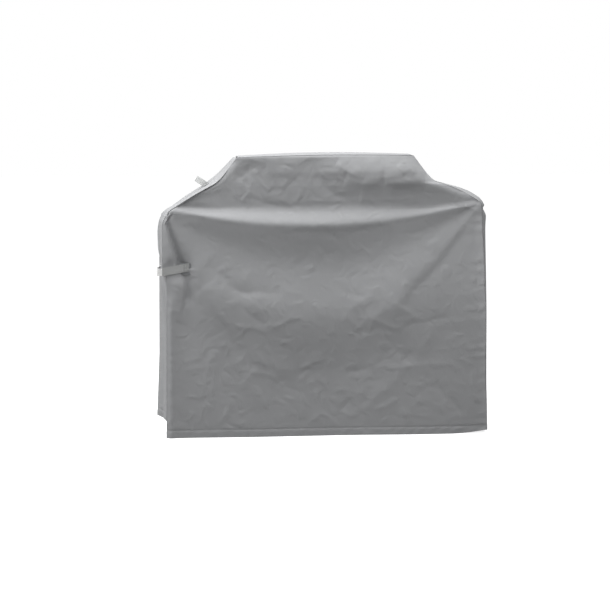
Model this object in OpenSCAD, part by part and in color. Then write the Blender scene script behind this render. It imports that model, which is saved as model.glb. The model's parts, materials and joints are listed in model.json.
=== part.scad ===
// Draped barbecue cover, open at the bottom. Two shaped panels are sewn to a gusset that runs
// up the left side, over the lid and down the right side. The seams are bound inside, the hem is
// faced, a webbing handle stands on the left slope beside the lid, and a hook-and-loop strap draws
// the left front corner together.
// Millimetres. +Z is up, the front faces -Y, the origin is on the ground under the middle.

/* [Cover] */
// Overall width across the bulging side walls
cover_w = 1380; // [1250:5:1600]
// Depth of the gusset from the front seam to the back seam
gusset_d = 610; // [540:5:750]
// Height of the lid's seam above the ground
cover_h = 1168; // [900:2:1300]
// Thickness of the coated fabric
fabric_t = 0.8; // [0.5:0.1:1.2]
// Gap between two sewn layers
layer_gap = 0.15; // [0.1:0.05:0.3]
// Clearance beside anything that moves
move_gap = 0.3; // [0.2:0.1:0.6]

/* [Outline] */
// Left seam set in from the overall width, at the hem
left_hem_inset = 26; // [20:1:40]
// Left seam set in from the overall width, at the shoulder
left_shoulder_inset = 24; // [20:1:40]
// Right seam set in from the overall width, at the hem
right_hem_inset = 12; // [8:1:40]
// Right seam set in from the overall width, at the shoulder
right_shoulder_inset = 54; // [20:1:70]
// Height of the lid
lid_h = 108; // [60:2:160]
// Width across the foot of the lid
lid_w = 900; // [760:5:1000]
// How far each side of the lid leans in
lid_lean = 78; // [40:1:120]
// Height of the lid's foot above the left shoulder
left_shoulder_drop = 122; // [70:1:160]
// Height of the lid's foot above the right shoulder
right_shoulder_drop = 90; // [70:1:160]
// How far the left slope arches up between the shoulder and the lid
left_crown = 4; // [0:1:20]
// How far the right slope arches up between the shoulder and the lid
right_crown = 10; // [0:1:20]
// How far the seams step back at the foot of the lid
foot_setback = 12; // [0:1:40]
// How far the seams step back at the top of the lid
lid_setback = 30; // [10:1:90]
// How far the right front seam turns back towards the side at the hem
corner_turn = 70; // [0:5:110]
// Height over which that seam turns back
corner_h = 150; // [80:5:250]
// Width of the front panel that turns with it
corner_w = 150; // [80:5:200]
// Rise of the lid above its seams
lid_dome = 12; // [4:1:30]
// Rise of the slopes above their seams
slope_dome = 4; // [2:1:15]

/* [Folds] */
// Sag of the first swag, which hangs from shoulder to shoulder
first_sag = 75; // [40:1:110]
// Width of the first swag above its crest
first_above = 42; // [30:1:60]
// Width of the first swag below its crest
first_below = 75; // [50:1:100]
// How far the first swag stands out
first_out = 36; // [20:1:50]
// Sag of the second swag
second_sag = 470; // [350:5:600]
// Width of the second swag above its crest
second_above = 210; // [120:5:260]
// Width of the second swag below its crest
second_below = 180; // [120:5:260]
// How far the second swag stands out
second_out = 36; // [15:1:45]
// Sag of the third swag, near the hem
third_sag = 960; // [800:5:1200]
// Width of the third swag above its crest
third_above = 170; // [100:5:260]
// Width of the third swag below its crest
third_below = 260; // [150:5:400]
// How far the third swag stands out
third_out = 20; // [5:1:35]
// How much lower the second and third swags hang on the back
back_drop = 60; // [0:5:100]
// Even swell of the panels
belly = 6; // [0:1:15]
// Share of the left wall's bulge that the strap leaves
strap_pinch = 0.6; // [0.4:0.05:0.8]
// How far the left wall is drawn in below the strap
left_waist = 34; // [0:1:45]
// Height over which it is drawn in
waist_h = 300; // [100:10:450]

/* [Hem and seams] */
// Height of the hem
hem_h = 32; // [20:1:45]
// Thickness of the turned-up hem facing
hem_t = 1.6; // [0.8:0.1:2.4]
// Width of the seam binding
binding_w = 25; // [15:1:35]
// Thickness of the seam binding
binding_t = 0.8; // [0.5:0.1:1.2]

/* [Handle] */
// Width of the handle webbing
web_w = 25; // [20:1:32]
// Thickness of the webbing
web_t = 1.6; // [1.2:0.1:2.4]
// Distance between the two legs of the handle
handle_span = 140; // [110:5:160]
// Height of the loop above its pivot line
handle_rise = 35; // [20:1:45]
// Length of each sewn end
handle_foot = 40; // [30:1:50]
// Gap between the foot of the lid and the handle's patches, along the slope
handle_gap = 11; // [10:1:60]
// Place of the handle's middle along the depth
handle_y = 40; // [10:5:70]
// How far a reinforcing patch reaches past the webbing on each side
patch_margin = 6.5; // [3:0.5:12]
// Thickness of a reinforcing patch
patch_t = 0.8; // [0.5:0.1:1.2]
// Lean of the handle from the slope's normal
handle_lean = 45; // [0:1:70]

/* [Strap] */
// Width of the strap
strap_w = 38; // [25:1:44]
// Thickness of the strap
strap_t = 1.8; // [1.2:0.1:2.4]
// Distance of the strap's middle below the left shoulder
strap_drop = 234; // [150:2:300]
// Distance of the sewn end from the left front seam
strap_reach = 86; // [75:1:110]
// Length of the sewn end
strap_foot = 25; // [18:1:32]
// How far the patch behind the strap reaches past it above and below
strap_margin = 5; // [3:0.5:12]
// Inner radius of the strap's bend
strap_bend = 10; // [6:1:14]
// Length of the strap past the bend
strap_tail = 30; // [15:1:45]
// Thickness of the hook tape
hook_t = 1.4; // [1:0.1:2]
// Thickness of the loop tape
loop_t = 1; // [0.8:0.1:1.6]
// Distance of the loop tape behind the front seam
loop_start = 105; // [90:5:140]
// Length of the loop tape
loop_l = 70; // [50:5:90]

/* [Hidden] */
$fn = 48;

// Grid counts: cells between the named rows and columns of the sheets
low_cells = 6;
ridge_cells = 5;
slope_cells = 3;
lid_cells = 3;
wide_cells = 17;
arch_cells = 24;

// Fade lengths of the folds
top_fade = 70;
strap_fade = 90;
shoulder_fade = 60;
least_shape = 0.06;
wall_power = 6;
edge_power = 4;

fabric_colour = [0.47, 0.48, 0.49];
binding_colour = [0.33, 0.34, 0.35];
webbing_colour = [0.50, 0.51, 0.51];
hook_colour = [0.93, 0.93, 0.92];

function lerp(a, b, t) = a + (b - a) * t;
function smooth(t) = let (u = min(1, max(0, t))) u * u * (3 - 2 * u);
function unit(v) = v / norm(v);
function total(list) = [for (x = list) 1] * list;
function steps(a, b, n) = [for (i = [1:n]) lerp(a, b, i / n)];

// Heights and widths that follow from the sizes above
lid_foot_h = cover_h - lid_h;
left_shoulder_h = lid_foot_h - left_shoulder_drop;
right_shoulder_h = lid_foot_h - right_shoulder_drop;
patch_w = web_w + 2 * patch_margin;
handle_drop = handle_gap + patch_w / 2;
strap_z = left_shoulder_h - strap_drop;
strap_patch = strap_w + 2 * strap_margin;
strap_low = strap_z - strap_patch / 2;
strap_high = strap_z + strap_patch / 2;

// Rows of the outline, from the hem to the lid, with the same names on the left and the right
row_hem_top = 1;
row_strap_low = row_hem_top + low_cells;
row_strap_high = row_strap_low + 1;
row_shoulder = row_strap_high + ridge_cells;
row_patch_low = row_shoulder + slope_cells;
row_web_low = row_patch_low + 1;
row_web_high = row_web_low + 1;
row_patch_high = row_web_high + 1;
row_foot = row_patch_high + 1;
row_top = row_foot + lid_cells;

left_hem_x = -cover_w / 2 + left_hem_inset;
left_shoulder_x = -cover_w / 2 + left_shoulder_inset;
right_hem_x = cover_w / 2 - right_hem_inset;
right_shoulder_x = cover_w / 2 - right_shoulder_inset;

// One side's outline as [x, z] points, one for each row
function side_points(hem_x, shoulder_x, shoulder_h, crown, side) = let (
    shoulder = [shoulder_x, shoulder_h],
    foot = [side * lid_w / 2, lid_foot_h],
    lid = foot + [-side * lid_lean, lid_h],
    slope = norm(shoulder - foot),
    down = (shoulder - foot) / slope,
    arch = [-side * down[1], side * down[0]] * crown,
    heights = concat([0, hem_h], steps(hem_h, strap_low, low_cells), [strap_high],
        steps(strap_high, shoulder_h, ridge_cells)),
    drops = concat(
        steps(slope, handle_drop + patch_w / 2, slope_cells),
        [handle_drop + web_w / 2, handle_drop - web_w / 2, handle_drop - patch_w / 2, 0])
) concat(
    [for (z = heights) [lerp(hem_x, shoulder_x, z / shoulder_h), z]],
    [for (d = drops) foot + down * d + arch * 4 * d / slope * (1 - d / slope)],
    [for (i = [1:lid_cells]) lerp(foot, lid, i / lid_cells)]);

left_points = side_points(left_hem_x, left_shoulder_x, left_shoulder_h, left_crown, -1);
right_points = side_points(right_hem_x, right_shoulder_x, right_shoulder_h, right_crown, 1);

// Half the depth between the seams at a row: the seams step back beside and over the lid
function half_depth(j) = let (z = left_points[j][1]) gusset_d / 2 - (
    j <= row_shoulder ? 0
    : j <= row_foot ? foot_setback * (z - left_shoulder_h) / (lid_foot_h - left_shoulder_h)
    : lerp(foot_setback, lid_setback, (z - lid_foot_h) / (cover_h - lid_foot_h)));

// How far the right front seam turns back at a row, and how the front panel follows it
function seam_turn(j) = corner_turn * smooth(1 - right_points[j][1] / corner_h);
function turn_share(share) = let (width = right_hem_x - left_hem_x)
    pow(max(0, 1 - (1 - share) * width / corner_w), 2);

// The rows of the panels sag between the shoulders, so that one of them follows the first swag
function row_sag(j) = first_sag * (
    j <= row_shoulder ? pow(left_points[j][1] / left_shoulder_h, 2)
    : max(0, (row_foot - j) / (row_foot - row_shoulder)));

// Columns of the panels, as shares of the way from the left seam to the right seam
strap_row_left = left_points[row_strap_low][0];
strap_row_width = right_points[row_strap_low][0] - strap_row_left;
strap_end_x = strap_row_left + strap_reach;
patch_mid_x = strap_end_x - strap_foot / 2;
patch_share_0 = (patch_mid_x - strap_patch / 2 - strap_row_left) / strap_row_width;
patch_share_1 = (patch_mid_x + strap_patch / 2 - strap_row_left) / strap_row_width;
columns = concat([0, patch_share_0, patch_share_1], steps(patch_share_1, 1, wide_cells));
last_column = len(columns) - 1;

// Swags hang as parabolas between the two shoulders. A point's sag says which parabola it is on
function sag_at(x, z) = let (
    share = (x - left_shoulder_x) / (right_shoulder_x - left_shoulder_x),
    shape = max(least_shape, 4 * share * (1 - share))
) (lerp(left_shoulder_h, right_shoulder_h, share) - z) / shape;

// A swag is [sag, width above its crest, width below its crest, how far it stands out]
function swags(drop) = [[first_sag, first_above, first_below, first_out],
    [second_sag + drop, second_above, second_below, second_out],
    [third_sag + drop, third_above, third_below, third_out]];
front_swags = swags(0);
back_swags = swags(back_drop);
function bump(g, swag) = let (w = g < swag[0] ? swag[1] : swag[2])
    swag[3] * exp(-pow((g - swag[0]) / w, 2));

// The strap holds the front panel flat from its sewn end to the corner, on the rows at its patch
function strap_hold(j, x) = smooth(max((x - patch_mid_x - strap_patch / 2) / strap_fade,
    (abs(left_points[j][1] - strap_z) - strap_patch / 2) / strap_fade));

// How far a panel stands out of its seams' plane
function relief(share, x, z, list) = smooth((cover_h - z) / top_fade)
    * (1 - pow(2 * share - 1, edge_power))
    * (belly + total([for (s = list) bump(sag_at(x, z), s)]));

// The rows hang from the right seam to the strap's patch, so that they run level behind the strap
function hang(share) = let (u = max(0, (share - patch_share_1) / (1 - patch_share_1))) 4 * u * (1 - u);
function panel_place(j, share) = [lerp(left_points[j][0], right_points[j][0], share),
    lerp(left_points[j][1], right_points[j][1], share) - row_sag(j) * hang(share)];

front_grid = [for (j = [0:row_top]) [for (s = columns) let (
    p = panel_place(j, s),
    seams = -half_depth(j) + seam_turn(j) * turn_share(s)
) [p[0], seams - strap_hold(j, p[0]) * relief(s, p[0], p[1], front_swags), p[1]]]];
back_grid = [for (j = [0:row_top]) [for (k = [0:last_column])
    let (s = columns[last_column - k], p = panel_place(j, s))
    [p[0], half_depth(j) + relief(s, p[0], p[1], back_swags), p[1]]]];

// The gusset's path: up the left side, over the lid and down the right side. Each entry is
// [point, depth to the back seam, depth to the front seam, direction of the bulge, size of the bulge]
function wall_bulge(x, z, shoulder_h) =
    (cover_w / 2 - abs(x)) * smooth((shoulder_h - z) / shoulder_fade);
function strap_draw(z) = let (away = max(0, abs(z - strap_z) - strap_patch / 2) / strap_fade)
    1 - (1 - strap_pinch) * exp(-away * away);
function outward(points, j, side) = j <= row_shoulder ? [side, 0, 0]
    : let (d = unit(points[j] - points[j - 1])) [side * abs(d[1]), 0, abs(d[0])];
function waist(z) = left_waist * smooth((strap_low - z) / waist_h);
function bulge_at(p, j, shoulder_h, side) = let (wall = wall_bulge(p[0], p[1], shoulder_h))
    j > row_shoulder ? slope_dome : side > 0 ? wall : wall * strap_draw(p[1]) - waist(p[1]);
function side_path(points, shoulder_h, side) = [for (j = [0:row_top]) let (p = points[j])
    [[p[0], 0, p[1]], half_depth(j), half_depth(j) - (side > 0 ? seam_turn(j) : 0),
        outward(points, j, side), bulge_at(p, j, shoulder_h, side)]];
left_path = side_path(left_points, left_shoulder_h, -1);
right_path = side_path(right_points, right_shoulder_h, 1);
top_path = [for (k = [1:last_column - 1]) let (p = panel_place(row_top, columns[k])) [
    [p[0], 0, p[1]], half_depth(row_top), half_depth(row_top), [0, 0, 1],
    slope_dome + lid_dome * sin(180 * columns[k])]];
path = concat(left_path, top_path, [for (j = [row_top:-1:0]) right_path[j]]);
last_path = len(path) - 1;
corner_left = row_top;
corner_right = last_path - row_top;

// Columns of the gusset, from the back seam to the front seam. The inner ones are shares of the
// way between the two bindings, set by the handle's ends and the loop tape
inner_half = half_depth(row_web_low) - binding_w;
wall_half = gusset_d / 2 - binding_w;
function slope_share(y) = (inner_half - y) / (2 * inner_half);
function wall_share(y) = (wall_half - y) / (2 * wall_half);
loop_y0 = -gusset_d / 2 + loop_start;
loop_y1 = loop_y0 + loop_l;
foot_near = handle_span / 2;
foot_far = handle_span / 2 + handle_foot;
inner_shares = [slope_share(handle_y + foot_far), slope_share(handle_y + foot_near),
    slope_share(handle_y), slope_share(handle_y - foot_near), slope_share(handle_y - foot_far),
    wall_share(loop_y1), wall_share(loop_y0)];
column_back_far = 2;
column_back_near = 3;
column_front_near = 5;
column_front_far = 6;
column_loop_1 = 7;
column_loop_0 = 8;
column_front_binding = 9;
column_front_seam = 10;
seam_offset = fabric_t + 2 * layer_gap;

function gusset_columns(back, front) = let (back_bound = back - binding_w, front_bound = binding_w - front)
    concat([back - seam_offset, back_bound], [for (s = inner_shares) lerp(back_bound, front_bound, s)],
        [front_bound, seam_offset - front]);
function bulge_share(y, back, front) = 1 - pow(y > 0 ? y / back : -y / front, wall_power);
gusset_grid = [for (e = path) [for (y = gusset_columns(e[1], e[2]))
    e[0] + [0, y, 0] + e[3] * e[4] * bulge_share(y, e[1], e[2])]];

// Outward normals of a grid. At the hem they lie level, so that the hem ends in one plane
function grid_normals(grid) = let (rows = len(grid) - 1, cols = len(grid[0]) - 1)
    [for (j = [0:rows]) [for (k = [0:cols]) let (
        along = grid[j][min(cols, k + 1)] - grid[j][max(0, k - 1)],
        up = grid[min(rows, j + 1)][k] - grid[max(0, j - 1)][k],
        n = cross(along, up)
    ) unit(grid[j][k][2] < layer_gap ? [n[0], n[1], 0] : n)]];
front_normals = grid_normals(front_grid);
back_normals = grid_normals(back_grid);
gusset_normals = grid_normals(gusset_grid);

// A closed layer of cloth over rows j0 to j1 and columns k0 to k1 of a grid, between two distances
// from it along its normals. The trims draw its first and last columns or rows in from the edge
module layer(grid, normals, inner, outer, j0, j1, k0, k1, trim_columns = 0, trim_rows = 0) {
    rows = j1 - j0 + 1;
    cols = k1 - k0 + 1;
    size = rows * cols;
    function towards(p, q, d) = q == p ? [0, 0, 0] : unit(q - p) * d;
    function place(j, k, d) = let (
        p = grid[j][k],
        beside = k == k0 ? grid[j][k + 1] : k == k1 ? grid[j][k - 1] : p,
        along = j == j0 ? grid[j + 1][k] : j == j1 ? grid[j - 1][k] : p
    ) p + towards(p, beside, trim_columns) + towards(p, along, trim_rows) + normals[j][k] * d;
    points = concat(
        [for (j = [j0:j1]) for (k = [k0:k1]) place(j, k, outer)],
        [for (j = [j0:j1]) for (k = [k0:k1]) place(j, k, inner)]);
    function id(j, k) = j * cols + k;
    function quad(a, b, c, d) = [[a, b, c], [a, c, d]];
    cells = [for (j = [0:rows - 2]) for (k = [0:cols - 2])
        [id(j, k), id(j + 1, k), id(j + 1, k + 1), id(j, k + 1)]];
    skin = [for (c = cells) each quad(c[0], c[1], c[2], c[3])];
    lining = [for (f = skin) [f[0] + size, f[2] + size, f[1] + size]];
    rim = concat([for (k = [0:cols - 2]) id(0, k)], [for (j = [0:rows - 2]) id(j, cols - 1)],
        [for (k = [cols - 1:-1:1]) id(rows - 1, k)], [for (j = [rows - 1:-1:1]) id(j, 0)]);
    edge = [for (i = [0:len(rim) - 1]) let (a = rim[i], b = rim[(i + 1) % len(rim)])
        each quad(a, b, b + size, a + size)];
    polyhedron(points, concat(skin, lining, edge), convexity = 10);
}

// Depth of the first layer inside the cloth
inside = -fabric_t - layer_gap;

module front_panel() color(fabric_colour)
    layer(front_grid, front_normals, -fabric_t, 0, 0, row_top, 0, last_column);
module back_panel() color(fabric_colour)
    layer(back_grid, back_normals, -fabric_t, 0, 0, row_top, 0, last_column);

module gusset_piece(u0, u1, trim_rows = 0) color(fabric_colour)
    layer(gusset_grid, gusset_normals, -fabric_t, 0, u0, u1, 0, column_front_seam, 0, trim_rows);
module left_gusset() gusset_piece(0, corner_left);
module top_gusset() gusset_piece(corner_left, corner_right, 2 * layer_gap);
module right_gusset() gusset_piece(corner_right, last_path);

// The bindings lie along the seams on the inside of the gusset
module gusset_binding(u0, u1, k0, k1) color(binding_colour)
    layer(gusset_grid, gusset_normals, inside - binding_t, inside, u0, u1, k0, k1);
module front_seam_binding() gusset_binding(0, last_path, column_front_binding, column_front_seam);
module back_seam_binding() gusset_binding(0, last_path, 0, 1);
// The cross bindings cover the seams where the lid's gusset meets the sides
module cross_binding(u0, u1) color(binding_colour)
    layer(gusset_grid, gusset_normals, inside - binding_t, inside, u0, u1,
        1, column_front_binding, layer_gap);
module left_cross_binding() cross_binding(corner_left - 1, corner_left + 1);
module right_cross_binding() cross_binding(corner_right - 1, corner_right + 1);

// The hem facings are the turned-up edge, doubled inside the bottom of each panel
hem_inset = binding_t + 2 * seam_offset;
module panel_hem(grid, normals) color(fabric_colour)
    layer(grid, normals, inside - hem_t, inside, 0, row_hem_top, 0, last_column, hem_inset);
module front_hem() panel_hem(front_grid, front_normals);
module back_hem() panel_hem(back_grid, back_normals);
module side_hem(u0, u1) color(fabric_colour)
    layer(gusset_grid, gusset_normals, inside - hem_t, inside, u0, u1,
        1, column_front_binding, layer_gap);
module left_hem() side_hem(0, row_hem_top);
module right_hem() side_hem(last_path - row_hem_top, last_path);

// Handle. Its patches and its sewn ends lie on the left slope
module handle_ends(low, high, inner, outer, tint) color(tint) {
    layer(gusset_grid, gusset_normals, inner, outer, low, high, column_back_far, column_back_near);
    layer(gusset_grid, gusset_normals, inner, outer, low, high, column_front_near, column_front_far);
}
patch_top = layer_gap + patch_t;
foot_bottom = patch_top + layer_gap;
foot_top = foot_bottom + web_t;
module handle_patches() handle_ends(row_patch_low, row_patch_high, layer_gap, patch_top, binding_colour);
module handle_feet() handle_ends(row_web_low, row_web_high, foot_bottom, foot_top, webbing_colour);

// The handle swings about a line that runs from leg to leg, half the webbing's width above its ends
pivot_rise = slope_dome + foot_top + move_gap + web_w / 2;
handle_rows = left_points[row_web_high] - left_points[row_web_low];
slope_tilt = atan2(handle_rows[1], handle_rows[0]);
handle_seat = (left_points[row_web_low] + left_points[row_web_high]) / 2;
handle_pivot = [handle_seat[0] - sin(slope_tilt) * pivot_rise, handle_y,
    handle_seat[1] + cos(slope_tilt) * pivot_rise];

// The arch of the handle in its own plane, with legs that end half a webbing's width below the pivot
module arch_outline() {
    leg = handle_span / 2;
    function bow(a, r, h) = [r * cos(a), h * sin(a)];
    polygon(concat(
        [for (i = [0:arch_cells]) bow(180 * i / arch_cells, leg, handle_rise)],
        [for (i = [arch_cells:-1:0]) bow(180 * i / arch_cells, leg - web_t, handle_rise - web_t)]));
    for (side = [-1, 1])
        translate([side * (leg - web_t / 2), -web_w / 4]) square([web_t, web_w / 2], center = true);
}
// The ends of the legs are round, so that they clear the slope as the loop swings
module leg_outline() {
    circle(d = web_w);
    translate([-web_w / 2, 0]) square([web_w, handle_rise + web_w]);
}
module handle_loop() color(webbing_colour)
    translate(handle_pivot) rotate([0, -slope_tilt - handle_lean, 0]) intersection() {
        rotate([90, 0, 90]) linear_extrude(height = web_w, center = true) arch_outline();
        rotate([90, 0, 0]) linear_extrude(height = handle_span + web_w, center = true) leg_outline();
    }

// Strap. Its sewn end lies on the front panel, its bend goes round the corner of the cover, and its
// hook tape lies on the loop tape on the side wall
front_face = -gusset_d / 2;
strap_in_y = front_face - move_gap;
strap_out_y = strap_in_y - strap_t;
strap_pivot_x = strap_end_x - strap_foot - move_gap;
wall_x = -cover_w / 2 + (1 - strap_pinch) * (cover_w / 2 + strap_row_left);
hook_in_x = wall_x - layer_gap - loop_t - move_gap;
strap_in_x = hook_in_x - hook_t - layer_gap;
strap_out_x = strap_in_x - strap_t;
bend_x = strap_in_x + strap_bend;
bend_y = strap_in_y + strap_bend;
module strap_band() translate([0, 0, strap_z])
    linear_extrude(height = strap_w, center = true) children();

module strap_patch() color(binding_colour)
    layer(front_grid, front_normals, inside - patch_t, inside, row_strap_low, row_strap_high, 1, 2);
module strap_foot() color(webbing_colour) strap_band()
    translate([strap_end_x - strap_foot, front_face - layer_gap - strap_t]) square([strap_foot, strap_t]);
module closure_strap() color(webbing_colour) strap_band() {
    translate([bend_x, strap_out_y]) square([strap_pivot_x - bend_x, strap_t]);
    translate([strap_out_x, bend_y]) square([strap_t, strap_tail]);
    intersection() {
        translate([bend_x, bend_y]) difference() {
            circle(r = strap_bend + strap_t);
            circle(r = strap_bend);
        }
        translate([strap_out_x, strap_out_y]) square(strap_bend + strap_t);
    }
}
module strap_hook_tape() color(hook_colour) strap_band()
    translate([hook_in_x - hook_t, bend_y]) square([hook_t, loop_y1 - bend_y]);
module strap_loop_tape() color(binding_colour)
    layer(gusset_grid, gusset_normals, layer_gap, layer_gap + loop_t,
        row_strap_low, row_strap_high, column_loop_1, column_loop_0);

front_panel();
back_panel();
left_gusset();
top_gusset();
right_gusset();
front_seam_binding();
back_seam_binding();
left_cross_binding();
right_cross_binding();
front_hem();
back_hem();
left_hem();
right_hem();
handle_patches();
handle_feet();
handle_loop();
strap_patch();
strap_foot();
closure_strap();
strap_hook_tape();
strap_loop_tape();
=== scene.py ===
"""A draped barbecue cover: sewn cloth panels, hem, seam tapes, a webbing handle and a closure strap."""
import json
import math

import bpy
import numpy as np
from bpy.props import FloatProperty, FloatVectorProperty, PointerProperty
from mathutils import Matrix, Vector


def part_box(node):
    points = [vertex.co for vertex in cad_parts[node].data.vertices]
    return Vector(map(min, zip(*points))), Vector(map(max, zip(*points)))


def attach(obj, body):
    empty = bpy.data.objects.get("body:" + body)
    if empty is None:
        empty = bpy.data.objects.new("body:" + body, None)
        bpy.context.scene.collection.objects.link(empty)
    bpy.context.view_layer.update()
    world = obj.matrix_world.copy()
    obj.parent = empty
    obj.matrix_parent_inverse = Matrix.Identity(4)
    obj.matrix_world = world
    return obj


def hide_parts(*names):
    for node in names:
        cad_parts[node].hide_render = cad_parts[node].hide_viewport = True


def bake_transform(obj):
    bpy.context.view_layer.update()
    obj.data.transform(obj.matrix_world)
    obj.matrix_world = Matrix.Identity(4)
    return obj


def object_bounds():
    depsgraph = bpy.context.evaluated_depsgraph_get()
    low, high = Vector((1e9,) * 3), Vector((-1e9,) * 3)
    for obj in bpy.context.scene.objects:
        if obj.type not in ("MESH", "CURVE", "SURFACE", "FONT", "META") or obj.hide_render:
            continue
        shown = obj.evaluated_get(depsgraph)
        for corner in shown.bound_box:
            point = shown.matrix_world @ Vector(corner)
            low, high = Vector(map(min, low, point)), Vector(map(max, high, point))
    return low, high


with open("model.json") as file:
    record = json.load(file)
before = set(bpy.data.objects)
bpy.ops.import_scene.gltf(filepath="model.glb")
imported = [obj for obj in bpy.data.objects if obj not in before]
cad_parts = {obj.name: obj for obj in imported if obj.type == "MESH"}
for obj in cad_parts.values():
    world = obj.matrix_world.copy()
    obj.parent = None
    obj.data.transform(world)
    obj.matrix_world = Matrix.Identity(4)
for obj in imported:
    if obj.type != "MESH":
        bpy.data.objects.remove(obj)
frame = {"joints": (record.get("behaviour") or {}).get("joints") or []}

bl_info = {
    "name": "Draped barbecue cover",
    "version": (1, 0, 0),
    "blender": (4, 5, 0),
    "location": "View3D > Sidebar > Cover",
    "description": "Builds a draped barbecue cover, piece by piece, around its packed solids",
    "category": "Object",
}

CAD_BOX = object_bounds()
FRONT_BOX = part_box("front_panel")
STRAP_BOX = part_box("closure_strap")
STRAP_FOOT_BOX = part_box("strap_foot")
PATCH_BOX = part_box("strap_patch")
HOOK_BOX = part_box("strap_hook_tape")
LOOP_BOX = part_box("strap_loop_tape")
FEET_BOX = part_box("handle_feet")
JOINTS = {joint["name"]: joint for joint in frame["joints"]}
HANDLE_PIVOT = Vector(JOINTS["handle_swing"]["pos_m"])
STRAP_PIVOT = Vector(JOINTS["strap_peel"]["pos_m"])
FEET_REACH = (FEET_BOX[1].y - FEET_BOX[0].y) / 2
FRONT, BACK = -1, 1
LEFT, RIGHT = -1, 1

# Heights between which parts of the drape come and go, from none to full
FILL_HEIGHTS = (1.16, 0.74)
FOLD_HEIGHTS = (0.93, 0.83)
WAIST_HEIGHTS = (0.68, 0.38)
PUFF_HEIGHTS = (0.66, 0.72)
ROLL_HEIGHTS = (0.62, 0.52)

# Rows of the front seams and the share of the rolled edge at each of them
LEFT_LIPS = ((0.93, 1.0, 1.25, 1.5), (0.22, 1.0, 1.0, 0.25))
RIGHT_LIPS = ((0.12, 0.20, 0.34, 0.42, 0.60, 0.64, 0.68, 0.80, 0.86, 1.4, 1.7),
              (0.20, 0.60, 0.60, 0.20, 0.20, 0.45, 0.20, 0.25, 0.55, 0.45, 0.25))

# A rolled edge turns through this many degrees, and is wider across where its seam slopes, but no wider than
# at this uprightness
LIP_TURN = 135
LEAST_UPRIGHT = 0.35

# Heights of a panel's lowest rows, as shares of the hem's height
HEM_ROWS = (0, 0.12, 0.3, 0.5, 0.7, 0.86, 0.95, 1.0, 1.05, 1.14, 1.3, 1.55, 1.8)

# Lengths of the gusset that the seam tapes follow, between its cross seams: start, end and steps
TAPE_RUNS = ((0.002, 2.97, 150), (3.02, 3.98, 40), (4.03, 6.998, 150))

# How round the tops of creases and folds are, and the seeds of the scattered creases
CREASE_CREST = 0.004
FOLD_CREST = 0.012
CRUMPLE_SEEDS = {FRONT: 11, BACK: 23}

# Middles and widths of the dips near the left and right ends of a swag's line, as shares of the width
DIP_PLACES = ((0.13, 0.07), (0.81, 0.09))

# The strap: how far its sewn end is raised, its fall for each metre, how far that runs, and its tail's height
STRAP_RAISE = 0.007
STRAP_SLANT = 0.18
SLANT_RUN = 0.11
TAIL_Z = STRAP_PIVOT.z + STRAP_RAISE - STRAP_SLANT * SLANT_RUN

# Steps of the strap's path that its webbing covers; the hook tape goes on past it
WEBBING_STEPS = 54

# How far the handle leans over from the slope's normal, in degrees
HANDLE_LEAN = 62

# Share of the hem's height that its facing covers
FACING_SHARE = 0.98

# Stitches: distances of the strap's seams from its end, the box stitches as (out, across) on the strap and
# (across, out) on the handle, the sides, shares and girths of a bead, and its pitch and rise by its own size
STRAP_SEAMS = (0.003, 0.022)
STRAP_BOX_STITCH = ((0, -0.8), (0, 0.8), (1, 0.8), (1, -0.8), (0, -0.8), (1, 0.8), (1, -0.8), (0, 0.8))
HANDLE_BOX_STITCH = ((-0.8, 0.12), (0.8, 0.12), (0.8, 0.9), (-0.8, 0.9), (-0.8, 0.12), (0.8, 0.9), (0.8, 0.12),
                     (-0.8, 0.9))
BEAD_SIDES = 6
BEAD_RINGS = ((0.0, 0.3), (0.25, 1.0), (0.75, 1.0), (1.0, 0.3))
STITCH_PITCH = 1.25
STITCH_RISE = 0.4

# Depth of the cloth's grain, the height at which the swag pulls it tight, and how strongly the floor and the
# world shine
GRAIN_DEPTH = 0.0006
TIGHT_HEIGHT = 0.83
FLOOR_GLOW = 0.86
WORLD_FILL = 0.265

# The stage: the floor's width and how far it lies below the hem, the softboxes' names, places, targets, widths
# and watts, and the camera
FLOOR_W = 60
FLOOR_DROP = 0.0006
SOFTBOXES = (
    ("overhead_softbox", (-0.2, -0.9, 4.2), (0.0, 0.0, 0.6), 4.5, 222),
    ("left_softbox", (-3.2, -0.4, 3.2), (-0.2, 0.0, 0.7), 2.2, 97),
)
CAMERA_PLACE = (-1.0676, -7.9286, 1.356)
CAMERA_TARGET = (-0.0536, 0.0068, 0.515)
CAMERA_SENSOR = 36
CAMERA_LENS = 109.7


def swag(ends, out, fade, sag=0.0, curve=(1.0, 1.0), dips=(0.0, 0.0)):
    """One line that a panel hangs along, with pairs for its left and right: heights at the seams, how far the
    cloth stands out, how that fades towards the seams, the sag, how it curves and its dips near the ends."""
    return ends, sag, curve, out, fade, dips


# Lines that the panels hang along, from the lid to the hem
FRONT_SWAGS = (
    swag((1.168, 1.168), (0.000, 0.000), 0.35),
    swag((1.160, 1.160), (0.004, 0.004), 0.35),
    swag((1.105, 1.105), (-0.011, 0.020), 0.35),
    swag((1.065, 1.066), (-0.019, 0.012), 0.30),
    swag((0.990, 1.006), (-0.032, -0.014), 0.32, 0.016),
    swag((0.966, 0.979), (-0.037, -0.023), 0.38, 0.021, (1.2, 0.5), (0.007, 0.013)),
    swag((0.941, 0.974), (0.011, -0.005), 0.7, 0.079, (1.4, 1.0)),
    swag((0.938, 0.972), (0.006, -0.009), 0.8, 0.106, (1.25, 0.95)),
    swag((0.936, 0.970), (-0.015, -0.017), 0.8, 0.226, (0.85, 1.25)),
    swag((0.930, 0.965), (0.018, 0.013), 0.8, 0.460, (0.40, 1.12)),
    swag((0.580, 0.620), (-0.002, 0.000), 0.8, 0.360, (0.8, 0.8)),
    swag((0.000, 0.000), (0.004, 0.006), 0.8),
)
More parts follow.
